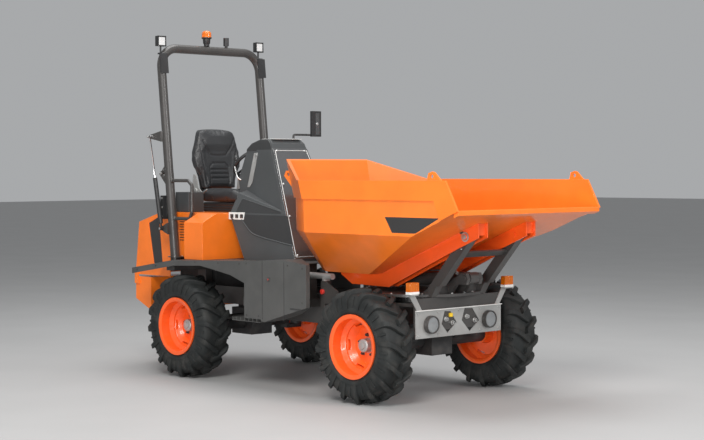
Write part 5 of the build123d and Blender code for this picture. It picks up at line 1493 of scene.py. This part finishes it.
# ------------------------------------------------------------------ seat
@dataclass
class Seat:
    """The sprung seat with its padded pieces."""

    seam_depth: float = 0.007
    voxel: float = 0.005
    swell: float = 0.010

    def pad(self, name: str, rings: Sequence[Sequence[Point]], finish: Finish,
            seams: Sequence[tuple[Point, Point]]) -> bpy.types.Object:
        """Build one padded piece.

        Args:
            name: Name of the piece.
            rings: Cross-sections of the foam before it is covered.
            finish: Cover.
            seams: Sewn channels, each between two points near the surface.

        Returns:
            The piece.
        """
        shape = Shape(name, finish).loft(rings)
        bmesh.ops.recalc_face_normals(shape.mesh, faces=shape.mesh.faces)
        data = bpy.data.meshes.new(name)
        shape.mesh.to_mesh(data)
        shape.mesh.free()
        piece = bpy.data.objects.new(name, data)
        bpy.context.scene.collection.objects.link(piece)
        remesh = piece.modifiers.new("even", "REMESH")
        remesh.mode = "VOXEL"
        remesh.voxel_size = self.voxel
        soften = piece.modifiers.new("soften", "SMOOTH")
        soften.factor = 0.5
        soften.iterations = 10
        self.bake(piece)
        self.swell_up(piece)
        self.sew(piece, seams)
        dress(piece, BODY_OF["seat"], finish, 80.0)
        return piece

    @staticmethod
    def bake(piece: bpy.types.Object) -> None:
        """Turn the piece's modifiers into plain mesh."""
        graph = bpy.context.evaluated_depsgraph_get()
        plain = bpy.data.meshes.new_from_object(piece.evaluated_get(graph))
        old = piece.data
        piece.modifiers.clear()
        piece.data = plain
        bpy.data.meshes.remove(old)

    def swell_up(self, piece: bpy.types.Object) -> None:
        """Let the cover swell under the foam's pressure, as a short cloth simulation."""
        start = [v.co.copy() for v in piece.data.vertices]
        cloth = piece.modifiers.new("cover", "CLOTH")
        cloth.settings.use_pressure = True
        cloth.settings.uniform_pressure_force = 4.0
        cloth.settings.effector_weights.gravity = 0.0
        cloth.settings.quality = 4
        cloth.settings.tension_stiffness = 25.0
        cloth.settings.compression_stiffness = 25.0
        cloth.settings.bending_stiffness = 2.0
        scene = bpy.context.scene
        for step in range(1, 15):
            scene.frame_set(step)
        self.bake(piece)
        for vertex, was in zip(piece.data.vertices, start):
            move = vertex.co - was
            if move.length > self.swell:
                vertex.co = was + move.normalized() * self.swell
        scene.frame_set(1)

    def sew(self, piece: bpy.types.Object, seams: Sequence[tuple[Point, Point]]) -> None:
        """Press sewn channels into the cover."""
        lines = [(Vector(a), Vector(b)) for a, b in seams]
        normals = [v.normal.copy() for v in piece.data.vertices]
        for vertex, normal in zip(piece.data.vertices, normals):
            press = 0.0
            for start, end in lines:
                run = end - start
                share = max(0.0, min(1.0, (vertex.co - start).dot(run) / run.length_squared))
                offset = vertex.co - (start + run * share)
                if offset.length > 0.035:
                    continue
                gap = (offset - normal * offset.dot(normal)).length
                press = max(press, math.exp(-(gap / 0.008) ** 2))
            vertex.co -= normal * (self.seam_depth * press)

    def backrest(self) -> None:
        """Build the backrest: side bolsters, ribbed middle and headrest."""
        levels = ((1.395, -1.318, 0.150), (1.450, -1.325, 0.160), (1.500, -1.330, 0.176),
                  (1.560, -1.338, 0.216),
                  (1.610, -1.345, 0.228), (1.680, -1.352, 0.220), (1.735, -1.356, 0.203),
                  (1.800, -1.364, 0.182),
                  (1.832, -1.372, 0.166), (1.846, -1.386, 0.140))
        rings = []
        for z, front, half in levels:
            hollow = 0.014 if z < 1.70 else 0.0
            rings.append([(front - 0.088, -half * 0.86, z), (front - 0.060, -half, z),
                          (front - 0.012, -half, z),
                          (front, -half * 0.84, z), (front - hollow, -half * 0.58, z),
                          (front - hollow, half * 0.58, z),
                          (front, half * 0.84, z), (front - 0.012, half, z),
                          (front - 0.060, half, z),
                          (front - 0.088, half * 0.86, z)])
        line = [(-1.352, 0.150, 1.770), (-1.350, 0.118, 1.705), (-1.346, 0.080, 1.655),
                (-1.346, 0.0, 1.648)]
        seams = []
        for s in (-1, 1):
            seams += [((a[0], s * a[1], a[2]), (b[0], s * b[1], b[2])) for a,
                      b in zip(line, line[1:])]
            seams += [((-1.345, s * 0.062, 1.590), (-1.340, s * 0.092, 1.560)),
                      ((-1.340, s * 0.092, 1.560), (-1.330, s * 0.092, 1.440)),
                      ((-1.350, s * 0.182, 1.730), (-1.330, s * 0.128, 1.430))]
        seams += [((-1.340, -0.062, 1.590), (-1.340, 0.062, 1.590))]
        seams += [((-1.333, -0.088, 1.470 + 0.035 * k),
                   (-1.333, 0.088, 1.470 + 0.035 * k)) for k in range(3)]
        self.pad("seat_backrest", rings, SEAT_VINYL, seams)

    def cushion(self) -> None:
        """Build the cushion with its raised sides."""
        rings = []
        for x, half, top in ((-1.330, 0.195, 1.372), (-1.280, 0.214, 1.386), (-1.150, 0.220, 1.388),
                             (-1.000, 0.220, 1.388),
                             (-0.920, 0.214, 1.382), (-0.868, 0.196, 1.356)):
            rings.append([(x, -half, 1.300), (x, -half, top - 0.018), (x, -half * 0.92, top),
                          (x, -half * 0.66, top - 0.004),
                          (x, -half * 0.60, top - 0.020), (x, half * 0.60, top - 0.020),
                          (x, half * 0.66, top - 0.004),
                          (x, half * 0.92, top), (x, half, top - 0.018), (x, half, 1.300)])
        seams = [((-1.30, s * 0.140, 1.374), (-0.90, s * 0.138, 1.372)) for s in (-1, 1)]
        seams += [((-1.24 + 0.08 * k, -0.13, 1.366),
                   (-1.24 + 0.08 * k, 0.13, 1.366)) for k in range(4)]
        piece = self.pad("seat_cushion", rings, SEAT_VINYL, seams)
        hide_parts("seat")

    def shell(self) -> None:
        """Build the seat's rear shell, armrest bracket, recline lever and buckle."""
        body = BODY_OF["seat"]
        back = Shape("seat_shell", BLACK_PLASTIC)
        rings = []
        for z, rear, half in ((1.345, -1.418, 0.150), (1.480, -1.432, 0.168),
                              (1.580, -1.440, 0.205), (1.640, -1.446, 0.212),
                              (1.740, -1.450, 0.190), (1.830, -1.450, 0.150),
                              (1.843, -1.444, 0.130)):
            rings.append([(rear, -half * 0.8, z), (rear + 0.030, -half, z),
                          (rear + 0.040, -half, z),
                          (rear + 0.040, half, z), (rear + 0.030, half, z), (rear, half * 0.8, z)])
        back.loft(rings)
        back.piece(body, bevel=0.004)
        hinge = Shape("seat_brackets", GREY)
        for side in (-1, 1):
            y = side * 0.222
            hinge.side([(-1.420, 1.330), (-1.300, 1.330), (-1.270, 1.360), (-1.318, 1.400),
                        (-1.350, 1.500), (-1.385, 1.500),
                        (-1.400, 1.400)], y, y + side * 0.006)
            hinge.disc((-1.352, y + side * 0.006, 1.372), (0, side, 0), 0.024, 0.006)
        hinge.piece(body, bevel=0.0015)
        lever = Shape("recline_lever", STEEL)
        lever.bent_tube([(-1.330, -0.232, 1.345), (-1.255, -0.236, 1.352), (-1.200, -0.236, 1.385)],
                        0.006, 0.03, 10)
        lever.piece(body)
        buckle = Shape("belt_buckle", BLACK_PLASTIC)
        buckle.tube([(-1.290, 0.230, 1.330), (-1.250, 0.228, 1.400)], 0.010, 8)
        buckle.box((-1.262, 0.214, 1.395), (-1.226, 0.236, 1.450))
        buckle.piece(body, bevel=0.003)

    def base(self) -> None:
        """Dress the suspension base."""
        Shape.of_node("seat_base", DARK_PLASTIC).stand_for("seat_base", bevel=0.004)
        low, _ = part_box("seat_base")
        boot = Shape("suspension_boot", BLACK_PLASTIC)
        rings = []
        for k in range(7):
            z = low.z + 0.004 + 0.0105 * k
            grow = 0.003 if k % 2 else -0.001
            rings.append([(-1.321 - grow, -0.176 - grow, z), (-0.899 + grow, -0.176 - grow, z),
                          (-0.899 + grow, 0.176 + grow, z), (-1.321 - grow, 0.176 + grow, z)])
        boot.loft(rings)
        boot.piece(BODY_OF["seat_base"], bevel=0.0012)

    def build(self) -> None:
        """Build the whole seat."""
        self.base()
        self.cushion()
        self.backrest()
        self.shell()


# ------------------------------------------------------------------ roll-over hoop and lamps
@dataclass
class Hoop:
    """The folding roll-over hoop with its strut and lamps."""

    hardware: Hardware
    post_y: float = 0.487
    fold_z: float = 1.510

    FOLD_X = -1.4054
    FOOT_X = -1.2705
    BOLT_CIRCLE = 0.050
    POST_LEAN = math.radians(6.2)
    # pins of the hoop's strut, upper and lower
    STRUT_PINS = ((-1.5041, -0.553, 1.793), (-1.3596, -0.553, 1.088))

    def tubes(self) -> None:
        """Dress the posts, the hoop, its strut and their pins and welds."""
        for node in ("rops_posts", "rops_hoop"):
            Shape.of_node(node, GRAPHITE).stand_for(node, bevel=0.0010, smooth=30.0)
        for node, finish in (("strut_barrel", BLACK_PLASTIC), ("strut_rod", CHROME)):
            Shape.of_node(node, finish).stand_for(node, smooth=30.0)
        pins = Shape("fold_pins", STEEL)
        for side in (-1, 1):
            for end in (-1, 1):
                pins.disc((self.FOLD_X, side * self.post_y + end * 0.0372, self.fold_z),
                          (0, end, 0), 0.014, 0.004)
        pins.piece(BODY_OF["rops_posts"], smooth=35.0)
        # all four ride on the barrel: the upper pair belongs to the rod's eye and is left behind
        # when the hoop folds
        pivots = Shape("strut_pivots", STEEL)
        for x, y, z in self.STRUT_PINS:
            for end in (-1, 1):
                pivots.disc((x, y + end * 0.016, z), (0, end, 0), 0.009, 0.006)
        pivots.piece(BODY_OF["strut_barrel"], smooth=35.0)
        collars = Shape("rail_welds", GRAPHITE)
        slope = math.tan(self.POST_LEAN)
        for side in (-1, 1):
            for z in (1.165, 1.455):
                x = -1.275 - (z - 0.862) * slope
                collars.lathe([(0.030, 0.0), (0.030, 0.019), (0.036, 0.0175), (0.042, 0.0135),
                               (0.044, 0.0)],
                              (x, side * self.post_y, z), X_AXIS, 20)
        collars.piece(BODY_OF["rops_posts"], smooth=50.0)

    def foot_plates(self) -> None:
        """Bolt the posts' feet down."""
        plates, bolts = Shape("post_feet", GRAPHITE), Shape("post_foot_bolts", STEEL)
        for side in (-1, 1):
            y = side * self.post_y
            plates.ring((self.FOOT_X, y, 0.8705), Z_AXIS, 0.060, 0.036, 0.007)
            for k in range(4):
                angle = math.tau * (k + 0.5) / 4
                self.hardware.row(bolts,
                                  (self.FOOT_X + self.BOLT_CIRCLE * math.cos(angle),
                                   y + self.BOLT_CIRCLE * math.sin(angle), 0.8755),
                                  (0.1, 0, 0), 1, Z_AXIS, 0.0055)
        plates.piece(BODY_OF["platform"], smooth=30.0)
        bolts.piece(BODY_OF["platform"], smooth=30.0)

    def work_lights(self) -> None:
        """Build the square work lights on their brackets."""
        Shape.of_node("work_lights", BLACK_PLASTIC).stand_for("work_lights", bevel=0.002)
        body = BODY_OF["work_lights"]
        glass, frame, fins = (Shape("work_light_glass", GLOW),
                              Shape("work_light_frames", BLACK_PLASTIC),
                              Shape("work_light_fins", BLACK_PLASTIC))
        z0, z1 = 2.488, 2.566
        middle = -1.4456
        for side in (-1, 1):
            y = side * self.post_y
            x = middle + 0.017
            glass.box((x - 0.001, y - 0.030, z0 + 0.008), (x + 0.0025, y + 0.030, z1 - 0.008))
            for a, b in (((x, y - 0.038, z0), (x + 0.005, y - 0.030, z1)),
                         ((x, y + 0.030, z0), (x + 0.005, y + 0.038, z1)),
                         ((x, y - 0.038, z0), (x + 0.005, y + 0.038, z0 + 0.008)),
                         ((x, y - 0.038, z1 - 0.008), (x + 0.005, y + 0.038, z1))):
                frame.box(a, b)
            for k in range(6):
                yy = y - 0.030 + k * 0.012
                fins.box((middle - 0.017 - 0.006, yy - 0.0015, z0 + 0.006),
                         (middle - 0.016, yy + 0.0015, z1 - 0.006))
        glass.piece(body, bevel=0.002)
        frame.piece(body, bevel=0.0015)
        fins.piece(body)

    def beacon(self) -> None:
        """Build the amber beacon: foot, ribbed dome and base."""
        low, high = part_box("beacon")
        middle = ((low.x + high.x) / 2, (low.y + high.y) / 2, low.z)
        body = BODY_OF["beacon"]
        top = high.z - low.z
        foot = Shape("beacon_foot", BLACK_PLASTIC)
        foot.lathe([(0, 0.0), (0, 0.020), (0.006, 0.022), (0.016, 0.022), (0.024, 0.028),
                    (0.056, 0.030), (0.062, 0.040),
                    (0.070, 0.041), (0.070, 0.0)], middle, Z_AXIS, 32)
        foot.piece(body, smooth=35.0)
        dome = Shape("beacon_dome", AMBER)
        profile = [(0.0702, 0.0), (0.0702, 0.0385)]
        for k in range(4):
            profile += [(0.074 + 0.008 * k, 0.0385), (0.077 + 0.008 * k, 0.0375)]
        profile += [(top - 0.016, 0.036), (top - 0.006, 0.026), (top - 0.0015, 0.012),
                    (top - 0.0002, 0.0)]
        dome.lathe(profile, middle, Z_AXIS, 32)
        dome.stand_for("beacon", smooth=35.0)

    def tail_lamps(self) -> None:
        """Build the lamp boxes behind the posts."""
        Shape.of_node("tail_lamps", BLACK_PLASTIC).stand_for("tail_lamps", bevel=0.003)
        low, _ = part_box("tail_lamps")
        body = BODY_OF["tail_lamps"]
        lens, screws = Shape("tail_lenses", RED_LENS), Shape("tail_lamp_screws", STEEL)
        for side in (-1, 1):
            y = side * self.post_y
            lens.box((low.x - 0.003, y - 0.034, low.z + 0.012),
                     (low.x + 0.006, y + 0.034, low.z + 0.092))
            for z in (low.z + 0.020, low.z + 0.090, low.z + 0.160):
                self.hardware.row(screws, (low.x + 0.020, side * (self.post_y + 0.045), z),
                                  (0.1, 0, 0), 1, (0, side, 0),
                                  0.0055)
        lens.piece(body, bevel=0.002)
        screws.piece(body, smooth=30.0)

    def build(self) -> None:
        """Build the whole hoop."""
        self.tubes()
        self.foot_plates()
        self.work_lights()
        self.beacon()
        self.tail_lamps()


# ------------------------------------------------------------------ studio
class Studio:
    """Floor, lights and the camera of the picture."""

    EYE = Vector((8.3167, -7.6259, 1.5307))
    RIGHT = Vector((0.68405311, 0.72942496, -0.00325119))
    UP = Vector((-0.02119452, 0.02433105, 0.99947926))
    LENS_MM = 79.51
    SENSOR_MM = 36.0
    CLIP_END = 200.0
    FLOOR_HALF = 60.0
    SKY, SKY_STRENGTH = (0.46, 0.47, 0.48, 1.0), 0.85

    def __init__(self) -> None:
        self.scene = bpy.context.scene

    def camera(self) -> None:
        """Set the camera of the main view."""
        data = bpy.data.cameras.new("picture")
        data.lens = self.LENS_MM
        data.sensor_width = self.SENSOR_MM
        data.clip_end = self.CLIP_END
        eye = bpy.data.objects.new("picture", data)
        self.scene.collection.objects.link(eye)
        turn = Matrix((self.RIGHT, self.UP, self.RIGHT.cross(self.UP))).transposed()
        eye.matrix_world = Matrix.Translation(self.EYE) @ turn.to_4x4()
        self.scene.camera = eye

    def floor(self) -> None:
        """Lay a plain pale floor."""
        half = self.FLOOR_HALF
        mesh = bmesh.new()
        corners = [mesh.verts.new(p) for p in ((-half, -half, 0), (half, -half, 0), (half, half, 0),
                                               (-half, half, 0))]
        mesh.faces.new(corners)
        data = bpy.data.meshes.new("floor")
        mesh.to_mesh(data)
        mesh.free()
        floor = bpy.data.objects.new("floor", data)
        self.scene.collection.objects.link(floor)
        material = bpy.data.materials.new("floor")
        material.use_nodes = True
        tree = Tree(material.node_tree)
        surface = material.node_tree.nodes["Principled BSDF"]
        place = tree.node("ShaderNodeTexCoord")["Object"]
        cloud = tree.node("ShaderNodeTexNoise",
                          sockets={"Vector": place, "Scale": 1.3, "Detail": 6.0})
        tone = tree.node("ShaderNodeMix", {"data_type": "RGBA"},
                         {"Factor": cloud, "A": (0.37, 0.37, 0.37), "B": (0.42, 0.42, 0.42)})
        tree.feed(surface, "Base Color", tone)
        tree.feed(surface, "Roughness", 0.7)
        data.materials.append(material)

    def light(self, name: str, place: Point, aim: Point, size: float, power: float,
              tint: Colour = (1.0, 1.0, 1.0)) -> None:
        """Hang one soft area light."""
        data = bpy.data.lights.new(name, "AREA")
        data.shape = "DISK"
        data.size = size
        data.energy = power
        data.color = tint
        lamp = bpy.data.objects.new(name, data)
        self.scene.collection.objects.link(lamp)
        lamp.location = place
        lamp.rotation_mode = "QUATERNION"
        lamp.rotation_quaternion = (Vector(aim) - Vector(place)).to_track_quat("-Z", "Y")

    def build(self) -> None:
        """Set up the whole studio."""
        self.scene.view_settings.view_transform = "Standard"
        world = bpy.data.worlds.new("studio")
        world.use_nodes = True
        background = world.node_tree.nodes["Background"]
        background.inputs["Color"].default_value = self.SKY
        background.inputs["Strength"].default_value = self.SKY_STRENGTH
        self.scene.world = world
        self.camera()
        self.floor()
        self.light("key", (5.0, -6.5, 7.5), (0.3, 0.0, 0.9), 4.0, 700.0, (1.0, 0.98, 0.95))
        self.light("fill", (5.5, -8.0, 0.9), (0.3, 0.0, 0.9), 3.0, 430.0)
        self.light("front", (9.0, 1.5, 4.0), (1.0, 0.0, 0.8), 3.0, 300.0)
        self.light("top", (-1.0, 0.5, 8.0), (0.0, 0.0, 0.5), 6.0, 420.0)


# ------------------------------------------------------------------ CAD nodes that stay as they are
KEPT: dict[str, Finish] = {
    "chassis_frame": GRAPHITE, "slew_ring": GRAPHITE, "steering_rod": GRAPHITE,
    "front_axle": CASTING,
    "rear_axle": CASTING, "knuckle_left": CASTING, "knuckle_right": CASTING,
    "engine_block": CASTING,
}


def main() -> None:
    """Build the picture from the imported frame."""
    logging.basicConfig(level=logging.INFO, format="%(message)s")
    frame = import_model()
    NODES.update(frame["nodes"])
    for body, members in frame["record"]["behaviour"]["bodies"].items():
        for node in members:
            BODY_OF[node] = body
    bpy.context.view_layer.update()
    Studio().build()
    for node, finish in KEPT.items():
        for slot in NODES[node].material_slots:
            slot.material = PAINTS[finish]
    hardware = Hardware()
    lug_items: dict[int, RingPattern] = {}
    for axle in ("front", "rear"):
        for hand in ("left", "right"):
            Wheel(axle, hand, hardware, lug_items=lug_items).build()
    for part in (Skip(hardware), TipFrame(hardware), Front(hardware), Bodywork(hardware),
                 Console(hardware), Seat(),
                 Hoop(hardware)):
        log.info("building %s", type(part).__name__)
        part.build()


if __name__ == "__main__":
    main()
